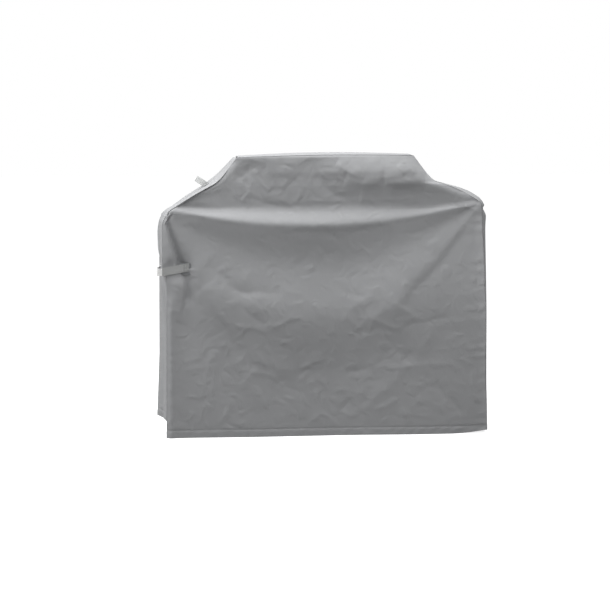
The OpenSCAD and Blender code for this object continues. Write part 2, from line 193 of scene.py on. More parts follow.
BACK_SWAGS = (
    swag((1.150, 1.150), (0.000, 0.000), 0.35),
    swag((1.134, 1.134), (0.008, 0.008), 0.35),
    swag((1.050, 1.044), (0.010, -0.006), 0.35),
    swag((0.955, 0.968), (-0.014, -0.016), 0.45, 0.024),
    swag((0.920, 0.950), (0.032, 0.032), 0.8, 0.084, (1.2, 1.2)),
    swag((0.918, 0.946), (0.004, 0.006), 0.8, 0.250, (1.0, 1.2)),
    swag((0.910, 0.940), (0.036, 0.034), 0.8, 0.520, (0.7, 0.8)),
    swag((0.540, 0.600), (0.010, 0.012), 0.8, 0.360, (0.8, 0.8)),
    swag((0.000, 0.000), (0.014, 0.014), 0.8),
)
SWAGS = {FRONT: FRONT_SWAGS, BACK: BACK_SWAGS}

# Broad folds of the front panel: the points that each follows, its widths on its left and right, its height
FRONT_FOLDS = (
    (((-0.085, 1.150), (-0.034, 1.072), (0.017, 1.021), (0.072, 0.992), (0.140, 0.980)),
     (0.045, 0.030), -0.008),
    (((-0.500, 0.725), (-0.430, 0.660), (-0.366, 0.608), (-0.290, 0.606), (-0.190, 0.600)),
     (0.030, 0.022), -0.007),
    (((-0.310, 1.150), (-0.330, 1.100), (-0.360, 1.060)), (0.030, 0.030), -0.005),
    (((-0.255, 1.115), (-0.185, 1.095), (-0.145, 1.060)), (0.030, 0.030), 0.004),
    (((0.615, 0.940), (0.575, 0.850), (0.505, 0.755), (0.440, 0.680), (0.370, 0.610), (0.320, 0.530)),
     (0.090, 0.055), -0.012),
    (((-0.520, 0.625), (-0.465, 0.550), (-0.410, 0.480), (-0.360, 0.425)), (0.050, 0.035), 0.006),
    (((-0.450, 0.435), (-0.410, 0.360), (-0.355, 0.275), (-0.315, 0.200), (-0.260, 0.120)),
     (0.035, 0.030), 0.004),
    (((-0.375, 0.435), (-0.315, 0.365), (-0.260, 0.315), (-0.200, 0.285), (-0.125, 0.280)),
     (0.050, 0.030), 0.005),
    (((-0.575, 0.575), (-0.600, 0.535), (-0.625, 0.485)), (0.040, 0.012), 0.004),
    (((0.230, 0.625), (0.170, 0.580), (0.100, 0.545)), (0.014, 0.040), 0.004),
    (((0.355, 0.615), (0.285, 0.555), (0.200, 0.505), (0.135, 0.485)), (0.050, 0.030), 0.005),
    (((0.460, 0.465), (0.425, 0.410), (0.390, 0.365), (0.355, 0.335)), (0.018, 0.045), 0.003),
    (((0.340, 0.305), (0.285, 0.240), (0.210, 0.165), (0.135, 0.095)), (0.035, 0.070), 0.004),
    (((0.080, 1.072), (0.150, 1.054), (0.230, 1.058)), (0.030, 0.018), 0.007),
    (((-0.220, 0.905), (-0.070, 0.886), (0.090, 0.882), (0.280, 0.898)), (0.040, 0.025), 0.005),
    (((0.240, 1.060), (0.320, 1.056), (0.410, 1.064)), (0.030, 0.018), 0.008),
)

# Sharp creases of the front panel, in the same terms
FRONT_CREASES = (
    (((0.040, 1.135), (0.080, 1.105), (0.150, 1.070)), (0.030, 0.010), 0.005),
    (((0.150, 1.070), (0.245, 1.075), (0.325, 1.090)), (0.030, 0.014), 0.003),
    (((0.295, 1.125), (0.325, 1.090)), (0.016, 0.010), 0.003),
    (((0.325, 1.090), (0.350, 1.110), (0.365, 1.090)), (0.010, 0.010), 0.002),
    (((-0.305, 1.110), (-0.280, 1.065), (-0.235, 1.020)), (0.020, 0.012), 0.004),
    (((-0.335, 1.090), (-0.355, 1.050), (-0.335, 1.020)), (0.012, 0.010), 0.0025),
    (((-0.330, 1.090), (-0.315, 1.045), (-0.330, 0.995)), (0.012, 0.010), 0.0025),
    (((-0.390, 1.065), (-0.375, 1.020), (-0.355, 1.000)), (0.012, 0.012), 0.003),
    (((-0.290, 1.095), (-0.245, 1.040), (-0.200, 1.010)), (0.012, 0.012), -0.0025),
    (((-0.190, 1.030), (-0.165, 1.065)), (0.010, 0.010), 0.002),
    (((-0.320, 0.995), (-0.270, 0.975), (-0.205, 0.960), (-0.145, 0.945)), (0.012, 0.016), -0.003),
    (((-0.330, 1.025), (-0.350, 0.975)), (0.010, 0.010), 0.0025),
    (((-0.385, 0.470), (-0.345, 0.460), (-0.300, 0.455), (-0.250, 0.435)), (0.012, 0.010), 0.0024),
    (((-0.250, 0.450), (-0.200, 0.470), (-0.160, 0.495), (-0.120, 0.495), (-0.085, 0.465)),
     (0.010, 0.010), 0.0022),
    (((-0.325, 0.590), (-0.300, 0.585), (-0.275, 0.575)), (0.012, 0.008), 0.0015),
    (((-0.485, 0.350), (-0.500, 0.275), (-0.515, 0.210), (-0.530, 0.170)), (0.010, 0.012), 0.0020),
    (((-0.470, 0.340), (-0.475, 0.250), (-0.485, 0.180), (-0.495, 0.125)), (0.010, 0.010), 0.0020),
    (((-0.395, 0.160), (-0.420, 0.110), (-0.455, 0.055)), (0.012, 0.010), 0.0022),
    (((-0.340, 0.275), (-0.300, 0.270), (-0.250, 0.260), (-0.215, 0.240)), (0.016, 0.010), 0.0020),
    (((-0.115, 0.285), (-0.065, 0.305), (-0.010, 0.325)), (0.016, 0.010), 0.0022),
    (((-0.085, 0.050), (-0.050, 0.080), (-0.015, 0.095)), (0.016, 0.010), 0.0022),
    (((0.160, 0.500), (0.210, 0.480), (0.260, 0.455), (0.310, 0.445)), (0.012, 0.012), 0.0024),
    (((0.060, 0.510), (0.100, 0.480), (0.130, 0.455), (0.160, 0.495)), (0.010, 0.010), 0.0020),
    (((0.185, 0.285), (0.305, 0.285), (0.410, 0.295), (0.540, 0.295)), (0.012, 0.012), 0.0022),
    (((0.030, 0.200), (0.095, 0.185)), (0.012, 0.010), 0.0018),
    (((0.375, 0.160), (0.395, 0.125)), (0.010, 0.010), 0.0018),
    (((0.315, 0.100), (0.350, 0.050)), (0.010, 0.012), 0.0020),
    (((0.605, 0.255), (0.620, 0.180), (0.635, 0.130)), (0.010, 0.010), 0.0020),
    (((0.580, 0.370), (0.610, 0.340), (0.640, 0.310)), (0.010, 0.010), 0.0015),
    (((-0.375, 0.555), (-0.310, 0.500), (-0.250, 0.465)), (0.012, 0.012), -0.0022),
    (((-0.190, 0.215), (-0.140, 0.195), (-0.100, 0.175)), (0.010, 0.014), -0.0020),
    (((0.315, 0.450), (0.355, 0.470), (0.415, 0.475), (0.475, 0.490), (0.510, 0.485)),
     (0.010, 0.016), -0.0026),
    (((0.065, 0.600), (0.115, 0.590), (0.160, 0.585)), (0.010, 0.012), -0.0018),
    (((0.305, 0.320), (0.340, 0.335), (0.380, 0.355)), (0.010, 0.014), -0.0022),
    (((0.070, 0.265), (0.125, 0.270), (0.180, 0.285)), (0.012, 0.012), -0.0022),
    (((0.455, 0.225), (0.475, 0.185), (0.500, 0.140)), (0.010, 0.014), -0.0022),
    (((0.505, 0.170), (0.540, 0.120), (0.570, 0.085)), (0.010, 0.014), -0.0022),
    (((0.100, 0.155), (0.070, 0.120), (0.030, 0.080)), (0.012, 0.012), -0.0022),
    (((0.175, 0.165), (0.135, 0.120)), (0.010, 0.010), -0.0018),
)


def length(label, words, value):
    """A size in metres."""
    return FloatProperty(name=label, description=words, default=value, unit="LENGTH", precision=4)


def portion(label, words, value):
    """A share from 0 to 1."""
    return FloatProperty(name=label, description=words, default=value, min=0, max=1)


def tone(label, words, value):
    """A colour."""
    return FloatVectorProperty(name=label, description=words, default=value, subtype="COLOR", min=0, max=1)


class CoverSizes(bpy.types.PropertyGroup):
    """Sizes of the cover in metres."""
    left_hem_x: length("Left hem", "Place of the left seam at the hem", -0.672)
    left_shoulder_x: length("Left shoulder", "Place of the left seam at the shoulder", FRONT_BOX[0].x)
    left_shoulder_h: length("Left shoulder height", "Height of the left shoulder", 0.938)
    right_hem_x: length("Right hem", "Place of the right seam at the hem", 0.676)
    right_shoulder_x: length("Right shoulder", "Place of the right seam at the shoulder", 0.656)
    right_shoulder_h: length("Right shoulder height", "Height of the right shoulder", 0.967)
    lid_foot_x: length("Lid foot", "Half the width of the lid at its foot", 0.450)
    lid_foot_h: length("Lid foot height", "Height of the lid's foot", 1.060)
    lid_top_x: length("Lid top", "Half the width of the lid at its top", 0.372)
    lid_top_h: length("Lid top height", "Height of the lid's seam", FRONT_BOX[1].z)
    lid_tilt: length("Lid tilt", "How much lower the lid's seam is at the left", 0.007)
    half_wide: length("Half width", "Half the width across the side walls", CAD_BOX[1].x)
    half_deep: length("Half depth", "Half the depth between the seams at the walls", 0.305)
    foot_setback: length("Foot setback", "How far the seams step back at the lid's foot", 0.012)
    lid_setback: length("Lid setback", "How far the seams step back at the lid's top", 0.030)
    back_drop: length("Back drop", "How much lower the back seam hangs over the slopes and the lid", 0.018)
    back_narrow: length("Back narrowing", "How far the back seam is drawn in at the lid's top right", 0.025)
    left_narrow: length("Left narrowing", "How far the back seam is drawn in at the lid's top left", 0.040)
    left_slump: length("Left slump", "How much lower the back seam hangs at the left shoulder", 0.038)
    front_fill: length("Front fill", "How far the front cloth as a whole stands off its seams", 0.015)
    left_puff: length("Left puff", "How far the left seam stands out above the strap", 0.018)
    right_lean: length("Right lean", "How far the right front seam stands forward below the shoulder", 0.040)
    lean_h: length("Lean height", "Height over which that seam comes forward", 0.500)
    left_roll: length("Left roll", "How far the left front seam is rounded back beside the lid", 0.008)
    left_roll_w: length("Left roll width", "Width of the cloth rounded with it", 0.030)
    right_rim: length("Right rim", "How far the right front seam stands out as a rim", 0.005)
    rim_w: length("Rim width", "Distance from the seam at which the rim fades", 0.014)
    lid_roll: length("Lid roll", "How far the right front seam is rounded back beside the lid", 0.036)
    lid_roll_w: length("Lid roll width", "Width of the cloth rounded with it", 0.070)
    left_sag: length("Left sag", "How far the left slope sags between the shoulder and the lid", 0.010)
    right_swell: length("Right swell", "How far the right wall stands out of the overall width", -0.010)
    left_crown: length("Left crown", "How far the left slope arches up", 0.004)
    right_crown: length("Right crown", "How far the right slope arches up", 0.012)
    left_round: length("Left shoulder round", "Length of the left shoulder's rounding on each side", 0.018)
    right_round: length("Right shoulder round", "Length of the right shoulder's rounding on each side", 0.020)
    foot_round: length("Foot round", "Length of the rounding at the lid's foot on each side", 0.045)
    corner_turn: length("Corner turn", "How far the right front seam turns back at the hem", 0.002)
    corner_lift: length("Corner lift", "How far the hem is lifted at the right front corner", 0.014)
    corner_h: length("Corner height", "Height over which that seam turns back", 0.150)
    corner_w: length("Corner width", "Width of the front panel that turns with it", 0.170)
    lid_arch: length("Lid arch", "Rise of the lid's seams in the middle", 0.006)
    lid_dome: length("Lid dome", "Rise of the lid above its seams", 0.005)
    right_dome: length("Right dome", "Swell of the right slope over its front seam by the shoulder", 0.014)
    slope_dome: length("Slope dome", "Rise of the slopes above their seams", 0.004)
    left_waist: length("Left waist", "How far the left wall is drawn in below the strap", 0.034)
    left_flare: length("Left flare", "How far the back seam stands out at the left of the hem", 0.010)
    wall_share: portion("Left wall share", "Share of the wall's bulge that the strap leaves", 0.20)
    cloth_t: length("Cloth thickness", "Thickness of the coated fabric", 0.0008)
    layer_gap: length("Layer gap", "Gap between two sewn layers", 0.00015)
    lip_r: length("Lip radius", "Radius of the rolled edge beside a seam", 0.003)
    lip_flat: length("Lip reach", "Distance from a seam at which the cloth is flat again", 0.0095)
    top_lip: portion("Top lip", "Share of the rolled edge at the lid's top seams", 0.55)
    hem_h: length("Hem height", "Height of the stitched hem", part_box("left_hem")[1].z)
    hem_t: length("Hem thickness", "Thickness of the turned-up facing", 0.0016)
    tape_w: length("Tape width", "Width of the seam binding", 0.025)
    tape_t: length("Tape thickness", "Thickness of the seam binding", 0.0008)
    cross_half: length("Cross tape reach", "Half the width of the tapes over the cross seams", 0.020)
    cross_drop: length("Cross tape drop", "How far those tapes lie below the rolled edges", 0.012)
    pleat_w: length("Pleat width", "Width of the pleat that the strap gathers beside the left corner", 0.047)
    pleat_h: length("Pleat drop", "How far the pleat runs down below the strap", 0.210)
    pleat_out: length("Pleat depth", "How far the pleat stands out", 0.011)
    pleat_spread: length("Pleat spread", "How much wider the pleat grows below the strap", 0.022)
    hollow_d: length("Hollow depth", "Depth of the hollow beside the pleat, above the strap", 0.028)
    roll_w: length("Roll width", "Width of the roll down the left corner", 0.020)
    roll_out: length("Roll depth", "How far that roll stands out", 0.011)
    web_w: length("Webbing width", "Width of the handle webbing", 0.025)
    web_t: length("Webbing thickness", "Thickness of the webbing", 0.0016)
    handle_rise: length("Handle rise", "Height of the loop above its pivot line", 0.0342)
    handle_half: length("Handle half span", "Half the distance between the legs", 0.0692)
    strap_w: length("Strap width", "Width of the closure strap", 0.034)
    strap_stand: length("Strap stand", "How far the strap stands off the wall at the corner", 0.024)
    strap_end: length("Strap end", "How far the strap runs past its solid at the sewn end", 0.005)
    hook_under: length("Hook tape overlap", "Length of hook tape under the webbing", 0.018)
    hook_narrow: length("Hook tape narrowing", "How much narrower than the strap it is", 0.004)
    strap_t: length("Strap thickness", "Thickness of the strap", 0.0016)
    strap_bend: length("Strap bend", "Radius of the strap's bend round the corner", 0.011)
    hook_t: length("Hook tape thickness", "Thickness of the hook tape", 0.0014)
    loop_t: length("Loop tape thickness", "Thickness of the loop tape", 0.0010)
    patch_t: length("Patch thickness", "Thickness of the patches behind sewn ends", 0.0008)
    patch_edge: length("Patch edge", "How far the handle patches show beside the webbing", 0.0065)
    stitch_l: length("Stitch length", "Length of one stitch", 0.0036)
    stitch_r: length("Stitch radius", "Half the thickness of the thread", 0.0004)


class CoverColours(bpy.types.PropertyGroup):
    """Colours of the cover's materials."""
    cloth: tone("Cloth", "Grey of the woven fabric", (0.336, 0.340, 0.348))
    lining: tone("Lining", "Grey of the coating inside", (0.250, 0.256, 0.262))
    tape: tone("Tape", "Grey of the binding tape and the patches", (0.230, 0.236, 0.242))
    webbing: tone("Webbing", "Grey of the handle and the strap", (0.390, 0.396, 0.393))
    hook: tone("Hook tape", "White of the hook tape", (0.95, 0.95, 0.94))
    loop: tone("Loop tape", "Grey of the brushed loop tape", (0.26, 0.265, 0.27))
    thread: tone("Thread", "Grey of the sewing thread", (0.30, 0.308, 0.312))
    floor: tone("Floor", "Grey of the floor under its pale light", (0.62, 0.62, 0.62))
    floor_dim: tone("Dim floor", "Grey of the floor for the light it throws back", (0.25, 0.25, 0.25))


def sizes():
    return bpy.context.scene.cover_sizes


def colours():
    return bpy.context.scene.cover_colours


def smooth(share):
    """An even ease from 0 to 1."""
    share = np.clip(share, 0, 1)
    return share * share * (3 - 2 * share)


def rise(value, start, end):
    """An even ease from 0 where value is start to 1 where it is end."""
    return smooth((value - start) / (end - start))


def bell(distance, width):
    return np.exp(-(distance / width) ** 2)


def wave(place, pitch, height, phase=0.0):
    return height * np.sin(2 * np.pi * place / pitch + phase)


def lerp(a, b, share):
    return a + (b - a) * share


def unit(vector):
    return vector / np.maximum(np.linalg.norm(vector, axis=-1, keepdims=True), 1e-12)


# Outline of the cover: rows count 0 at the hem, 1 at the shoulder, 2 at the lid's foot and 3 at its top
def seam_corners(size, side):
    """The four corners of one side's seam as (x, z)."""
    if side == LEFT:
        wall = [(size.left_hem_x, 0), (size.left_shoulder_x, size.left_shoulder_h)]
        top_h = size.lid_top_h - size.lid_tilt
    else:
        wall = [(size.right_hem_x, 0), (size.right_shoulder_x, size.right_shoulder_h)]
        top_h = size.lid_top_h
    return np.array(wall + [(side * size.lid_foot_x, size.lid_foot_h), (side * size.lid_top_x, top_h)])


def seam_puff(size, height):
    """How far the left seam stands out at a height, between the strap and the shoulder."""
    shoulder, fade = size.left_shoulder_h, 0.05
    return size.left_puff * rise(height, *PUFF_HEIGHTS) * rise(height, shoulder, shoulder - fade)


def seam_line(size, side, row):
    """Points (x, z) of one side's seam at the given rows, with rounded corners and an arched slope."""
    corners = seam_corners(size, side)
    row = np.asarray(row, float)
    line = np.stack([np.interp(row, range(4), corners[:, axis]) for axis in (0, 1)], -1)
    rounds = (size.left_round if side == LEFT else size.right_round, size.foot_round)
    for index, trim in zip((1, 2), rounds):
        before = corners[index] - corners[index - 1]
        after = corners[index + 1] - corners[index]
        first = index - trim / np.linalg.norm(before)
        last = index + trim / np.linalg.norm(after)
        start = corners[index] - unit(before) * trim
        end = corners[index] + unit(after) * trim
        q = ((row - first) / (last - first))[..., None]
        bend = (1 - q) ** 2 * start + 2 * q * (1 - q) * corners[index] + q ** 2 * end
        line = np.where((q > 0) & (q < 1), bend, line)
    slope = unit(corners[2] - corners[1])
    outward = np.array([side * slope[1], -side * slope[0]])
    crown = size.left_crown if side == LEFT else size.right_crown
    arch = np.clip(row - 1, 0, 1) * np.clip(2 - row, 0, 1)
    line = line + outward * (4 * crown * arch)[..., None]
    if side == LEFT:
        line[..., 0] -= seam_puff(size, line[..., 1]) * (row < 1)
    return line


def seam_outward(size, side, row):
    """Outward direction (x, z) of one side's seam at the given rows."""
    step = 0.004
    row = np.clip(np.asarray(row, float), step, 3 - step)
    along = unit(seam_line(size, side, row + step) - seam_line(size, side, row - step))
    return np.stack([side * along[..., 1], -side * along[..., 0]], -1)


def back_shift(size, side, row):
    """How far the back seam hangs inside the front seam's outline, as (x, z)."""
    row = np.asarray(row, float)
    if side == LEFT:
        drops = (0, size.left_slump, 0.024, 0.014, size.back_drop)
        narrows = (-size.left_flare, 0, 0, 0.014, 0.012, size.left_narrow)
        drop = np.interp(row, (0.75, 1, 1.5, 2, 3), drops)
        narrow = np.interp(row, (0, 0.3, 0.75, 1, 2, 3), narrows)
        narrow = narrow + seam_puff(size, row * size.left_shoulder_h) * (row < 1)
    else:
        drop = size.back_drop * np.interp(row, (0.78, 1, 1.5, 2, 3), (0, 0.8, 0.2, 0.4, 1))
        narrow = size.back_narrow * np.interp(row, (1, 2, 3), (0, 0.2, 1))
    return np.stack([-side * narrow, -drop], -1)


def half_depth(size, row):
    """Half the depth between the front and back seams at the given rows."""
    steps = (size.half_deep, size.half_deep - size.foot_setback, size.half_deep - size.lid_setback)
    return np.interp(row, (1, 2, 3), steps)


def corner_share(size, height):
    """1 at the hem of the right front corner, fading to 0 at the height where the corner is straight."""
    return rise(height, size.corner_h, 0)


def right_lean(size, height):
    """How far the right front seam stands forward at a height below the shoulder."""
    return size.right_lean * rise(height, size.right_shoulder_h, size.right_shoulder_h - size.lean_h)


def right_rim(size, height):
    """How far the right front seam stands out as a rim at a height below the shoulder."""
    below_shoulder, fade = 0.03, 0.08
    start = size.right_shoulder_h - below_shoulder
    return size.right_rim * rise(height, start, start - fade)


def left_roll(size, row):
    """How far the left front seam is rounded back beside the lid."""
    return size.left_roll * rise(row, 1.4, 1.8) * rise(row, 3, 2.75)


def right_roll(size, row):
    """How far the right front seam is rounded back over the slope and beside the lid."""
    slope_share, lid_share = 0.3, 0.7
    return size.lid_roll * (slope_share * rise(row, 1.1, 1.45) + lid_share * rise(row, 1.7, 2.6))


def near_seam(distance, reach):
    """1 at a seam, curving to 0 at this reach from it."""
    return np.clip(1 - distance / reach, 0, 1) ** 2


def seam_lip(size):
    """The rolled edge from a seam's bottom to the flat cloth: distances from the seam's corner, and depths."""
    turn = np.radians(np.linspace(LIP_TURN, 0, 7))
    across = size.lip_flat - size.lip_r * np.sin(turn)
    depth = size.lip_r * (1 - np.cos(turn))
    bottom = (across[0] + depth[0]) / 2 + size.lip_r
    across = np.concatenate([[bottom + size.cloth_t / 2], across])
    depth = np.concatenate([[bottom - size.cloth_t / 2], depth])
    return across, depth


def lip_share(side, face, row):
    """Depth of the rolled edge: shallow and uneven down the front seams, full at the back ones."""
    row = np.asarray(row, float)
    if face == BACK:
        return np.ones_like(row)
    return np.interp(row, *(LEFT_LIPS if side == LEFT else RIGHT_LIPS))


# The panels
def panel_rows(size):
    """Rows of a panel from the hem to the lid, and the depth of the rolled edge at each of them."""
    across, depth = seam_lip(size)
    hem = size.hem_h * np.array(HEM_ROWS)
    wall = np.concatenate([hem / size.left_shoulder_h, np.linspace(0.07, 0.985, 132)])
    slope = np.linspace(1, 2, 28, endpoint=False)
    lip = 3 - size.top_lip * across[::-1] / (size.lid_top_h - size.lid_foot_h)
    lid = np.linspace(2, lip[0], 22, endpoint=False)
    rows = np.concatenate([wall, slope, lid, lip])
    deep = np.concatenate([np.zeros(len(rows) - len(lip)), size.top_lip * depth[::-1]])
    return rows, deep


def panel_frame(size, face, columns=200):
    """Places of a panel's points before it is draped: x, z, share across, row and rolled edge."""
    rows, top_deep = panel_rows(size)
    across, depth = seam_lip(size)
    seams, edges, lips = [], [], []
    for side in (LEFT, RIGHT):
        seam = seam_line(size, side, rows)
        if face == BACK:
            seam = seam + back_shift(size, side, rows)
        lip = lip_share(side, face, rows)[:, None]
        upright = np.maximum(np.abs(seam_outward(size, side, rows)[:, :1]), LEAST_UPRIGHT)
        seams.append(seam)
        lips.append(lip)
        edges.append(seam[:, :1] - side * across * lip / upright)
    left, right = seams
    from_left, from_right = edges[0], edges[1][:, ::-1]
    inner = np.linspace(0, 1, columns)[1:-1]
    x = np.concatenate([from_left, lerp(from_left[:, -1:], from_right[:, :1], inner), from_right], 1)
    share = (x - left[:, :1]) / (right[:, :1] - left[:, :1])
    z = lerp(left[:, 1:], right[:, 1:], share)
    z = z + size.lid_arch * np.sin(np.pi * share) * smooth((z - size.lid_foot_h) / 0.1)
    flat = np.zeros((len(rows), len(inner)))
    side_deep = np.concatenate([depth * lips[0], flat, depth[::-1] * lips[1]], 1)
    deep = np.maximum(side_deep, top_deep[:, None])
    return x, z, share, np.repeat(rows[:, None], x.shape[1], 1), deep


def through(lines, share, z):
    """How far the cloth stands out at height z: a smooth curve down each column through the swags' lines."""
    shape = np.maximum(4 * share * (1 - share), 0)
    heights = []
    outs = []
    for ends, sag, curve, out, fade, dips in lines:
        dip = sum(deep * bell(share - middle, width) for deep, (middle, width) in zip(dips, DIP_PLACES))
        heights.append(lerp(*ends, share) - sag * shape ** lerp(*curve, share) - dip)
        outs.append(lerp(*out, smooth(share)) * shape ** fade)
    count = len(lines)
    drops = [np.maximum(heights[k] - heights[k + 1], 1e-4) for k in range(count - 1)]
    slopes = [(outs[k + 1] - outs[k]) / drops[k] for k in range(count - 1)]
    tangents = [slopes[0]]
    for before, after in zip(slopes[:-1], slopes[1:]):
        mean = 2 * before * after / np.where(np.abs(before + after) < 1e-9, 1, before + after)
        tangents.append(np.where(before * after > 0, mean, 0))
    tangents.append(slopes[-1])
    result = np.where(z > heights[0], outs[0], outs[-1])
    for k in range(count - 1):
        q = (heights[k] - z) / drops[k]
        inside = (q >= 0) & (q <= 1)
        q = np.clip(q, 0, 1)
        curve = (outs[k] * (1 + 2 * q) * (1 - q) ** 2 + tangents[k] * drops[k] * q * (1 - q) ** 2
                 + outs[k + 1] * q * q * (3 - 2 * q) + tangents[k + 1] * drops[k] * q * q * (q - 1))
        result = np.where(inside, curve, result)
    return result


def hem_shape(size, along, z):
    """The stitched hem: a groove at the stitch line and a fuller, roped edge below it."""
    groove_d, groove_w, fullness, rope_pitch, rope_h = 0.0008, 0.0035, 0.0004, 0.052, 0.0007
    groove = -groove_d * bell(z - size.hem_h, groove_w)
    below = rise(z, size.hem_h, size.hem_h - 0.006)
    rope = wave(along - 0.9 * z, rope_pitch, rope_h, wave(along, 0.37, 1.5))
    rope = rope * (0.35 + 0.65 * rise(along, -0.1, 0.3))
    return groove + below * (fullness + rope * bell(z - size.hem_h / 2, size.hem_h / 2.2))


def strap_hold(x, z):
    """0 where the strap's sewn end holds the front panel flat, and 1 away from it."""
    low, high = STRAP_FOOT_BOX
    reach_beside, reach_above, reach_below = 0.045, 0.22, 0.42
    beside = np.maximum(x - high.x, 0) / reach_beside
    above = np.maximum(z - high.z, 0) / reach_above
    below = np.maximum(low.z - z, 0) / reach_below
    return smooth(np.sqrt(beside ** 2 + above ** 2 + below ** 2))


def smooth_path(points, steps=8):
    """A smooth path through the given points."""
    points = np.array(points, float)
    ends = np.concatenate([[2 * points[0] - points[1]], points, [2 * points[-1] - points[-2]]])
    q = np.linspace(0, 1, steps, endpoint=False)[:, None]
    path = []
    for a, b, c, d in zip(ends[:-3], ends[1:-2], ends[2:-1], ends[3:]):
        path.append(0.5 * (2 * b + (c - a) * q + (2 * a - 5 * b + 4 * c - d) * q ** 2
                           + (3 * b - a - 3 * c + d) * q ** 3))
    return np.concatenate(path + [points[-1:]])


def crease(x, z, points, widths, height, crest=CREASE_CREST):
    """A ridge along a smooth path through points, or a groove where height is negative, rounded by crest."""
    path = smooth_path(points)
    reach = 5 * max(widths)
    near = ((x > path[:, 0].min() - reach) & (x < path[:, 0].max() + reach)
            & (z > path[:, 1].min() - reach) & (z < path[:, 1].max() + reach))
    result = np.zeros_like(x)
    place = np.stack([x[near], z[near]], -1)
    least = np.full(len(place), np.inf)
    offset = np.zeros(len(place))
    along = np.zeros(len(place))
    count = len(path) - 1
    for k in range(count):
        step = path[k + 1] - path[k]
        away = place - path[k]
        q = np.clip(away @ step / (step @ step), 0, 1)
        distance = np.linalg.norm(away - q[:, None] * step, axis=1)
        side = step[0] * away[:, 1] - step[1] * away[:, 0]
        closer = distance < least
        least = np.where(closer, distance, least)
        offset = np.where(closer, np.sign(side) * distance, offset)
        along = np.where(closer, (k + q) / count, along)
    width = np.where(offset > 0, widths[0], widths[1])
    taper = np.sqrt(np.maximum(4 * along * (1 - along), 0))
    result[near] = height * taper * np.exp((crest - np.sqrt(offset ** 2 + crest ** 2)) / width)
    return result


def crumple(x, z, seed, count=150):
    """Small creases left by folding and handling, in a seeded scatter."""
    random = np.random.default_rng(seed)
    out = np.zeros_like(x)
    for _ in range(count):
        middle = np.array([random.uniform(-0.6, 0.6), random.uniform(0.06, 1.10)])
        turn = random.normal(0.0, 0.7)
        half = random.uniform(0.02, 0.07)
        step = half * np.array([math.cos(turn), math.sin(turn)])
        bend = random.uniform(-0.25, 0.25) * np.array([-step[1], step[0]])
        width = random.uniform(0.007, 0.012)
        height = random.choice((-1, 1)) * random.uniform(0.0006, 0.0014)
        skirt = width * random.uniform(1.0, 2.0)
        out = out + crease(x, z, (middle - step, middle + bend, middle + step), (width, skirt), height)
    return out


def seam_pucker(share, z):
    """Small puckers where the panel is gathered along its side seams."""
    left_out, left_reach, right_out, right_reach, rim_w = 0.0008, 0.022, 0.0016, 0.026, 0.012
    pucker = wave(z, 0.046, 1, wave(z, 0.31, 2.2)) * (0.6 + wave(z, 0.17, 0.4, 1))
    left = left_out * np.exp(-share / left_reach)
    right = right_out * np.exp(-(1 - share) / right_reach)
    return pucker * (left + right) * smooth(share / rim_w) * smooth((1 - share) / rim_w)


def strap_middle(x):
    """Height of the strap's middle along its slight slant."""
    return STRAP_PIVOT.z + STRAP_RAISE - STRAP_SLANT * np.clip(STRAP_FOOT_BOX[1].x - x, 0, SLANT_RUN)


def corner_pleat(size, x, z, inset):
    """The pleats that the strap gathers beside the left corner, above and below itself."""
    strap_z = STRAP_PIVOT.z
    above = z > strap_z
    least_w, fall_w, hollow_w = 0.004, 0.022, 0.030
    low_fall_w, low_hollow_d, low_hollow_w = 0.014, 0.006, 0.04
    held_h, pinch_h = 0.015, 0.048
    up = np.clip((z - strap_z) / (size.left_shoulder_h - strap_z), 0, 1)
    down = np.clip((strap_z - z) / size.pleat_h, 0, 1)
    low = size.pleat_w + size.pleat_spread * np.sin(np.pi * np.minimum(1.1 * down, 1))
    crest = np.maximum(np.where(above, size.pleat_w * (1 - up), low), least_w)
    valley = crest + np.where(above, fall_w * (1 - up) + least_w, low_fall_w)
    low_end = smooth(2 - 2 * down)
    top = size.pleat_out * np.where(above, np.sqrt(1 - up), 0.7 * smooth(down / 0.4) * low_end)
    deep = np.where(above, size.hollow_d * (1 - up) ** 0.75, low_hollow_d * smooth(5 * down) * low_end)
    climb = top * np.sin(np.pi / 2 * np.clip(inset / crest, 0, 1))
    fall = lerp(top, -deep, smooth((inset - crest) / (valley - crest)))
    beyond = np.maximum(inset - valley, 0)
    tail = -deep * np.where(above, bell(beyond, hollow_w * (1 - up) + least_w), np.exp(-beyond / low_hollow_w))
    profile = np.where(inset < crest, climb, np.where(inset < valley, fall, tail))
    pinch = smooth((np.abs(z - strap_middle(x)) - held_h) / pinch_h)
    return np.where(profile > 0, pinch * profile, profile)


def strap_dimple(x, z):
    """The shallow hollow in the front panel below the strap."""
    middle_x, middle_z, deep = -0.58, 0.545, 0.010
    half_w, above_h, below_h = 0.055, 0.07, 0.18
    return -deep * bell(x - middle_x, half_w) * bell(z - middle_z, np.where(z > middle_z, above_h, below_h))


def corner_roll(size, z, inset):
    """The narrow roll that the left corner makes below the strap."""
    wide, fade = size.roll_w, 0.04
    climb = np.sin(np.pi / 2 * np.clip(inset / wide, 0, 1))
    roll = np.where(inset < wide, climb, np.exp((wide - inset) / fade))
    return size.roll_out * roll * rise(z, *ROLL_HEIGHTS)


def front_drape(size, x, z, share, out):
    """The front's swags, filled out as a whole, held by the strap and gathered beside the left corner."""
    inset = x - x[:, :1]
    fade = 0.3
    fill = smooth(share / fade) * smooth((1 - share) / fade) * rise(z, *FILL_HEIGHTS)
    out = (out + size.front_fill * fill) * strap_hold(x, z)
    return out + corner_pleat(size, x, z, inset) + strap_dimple(x, z) + corner_roll(size, z, inset)


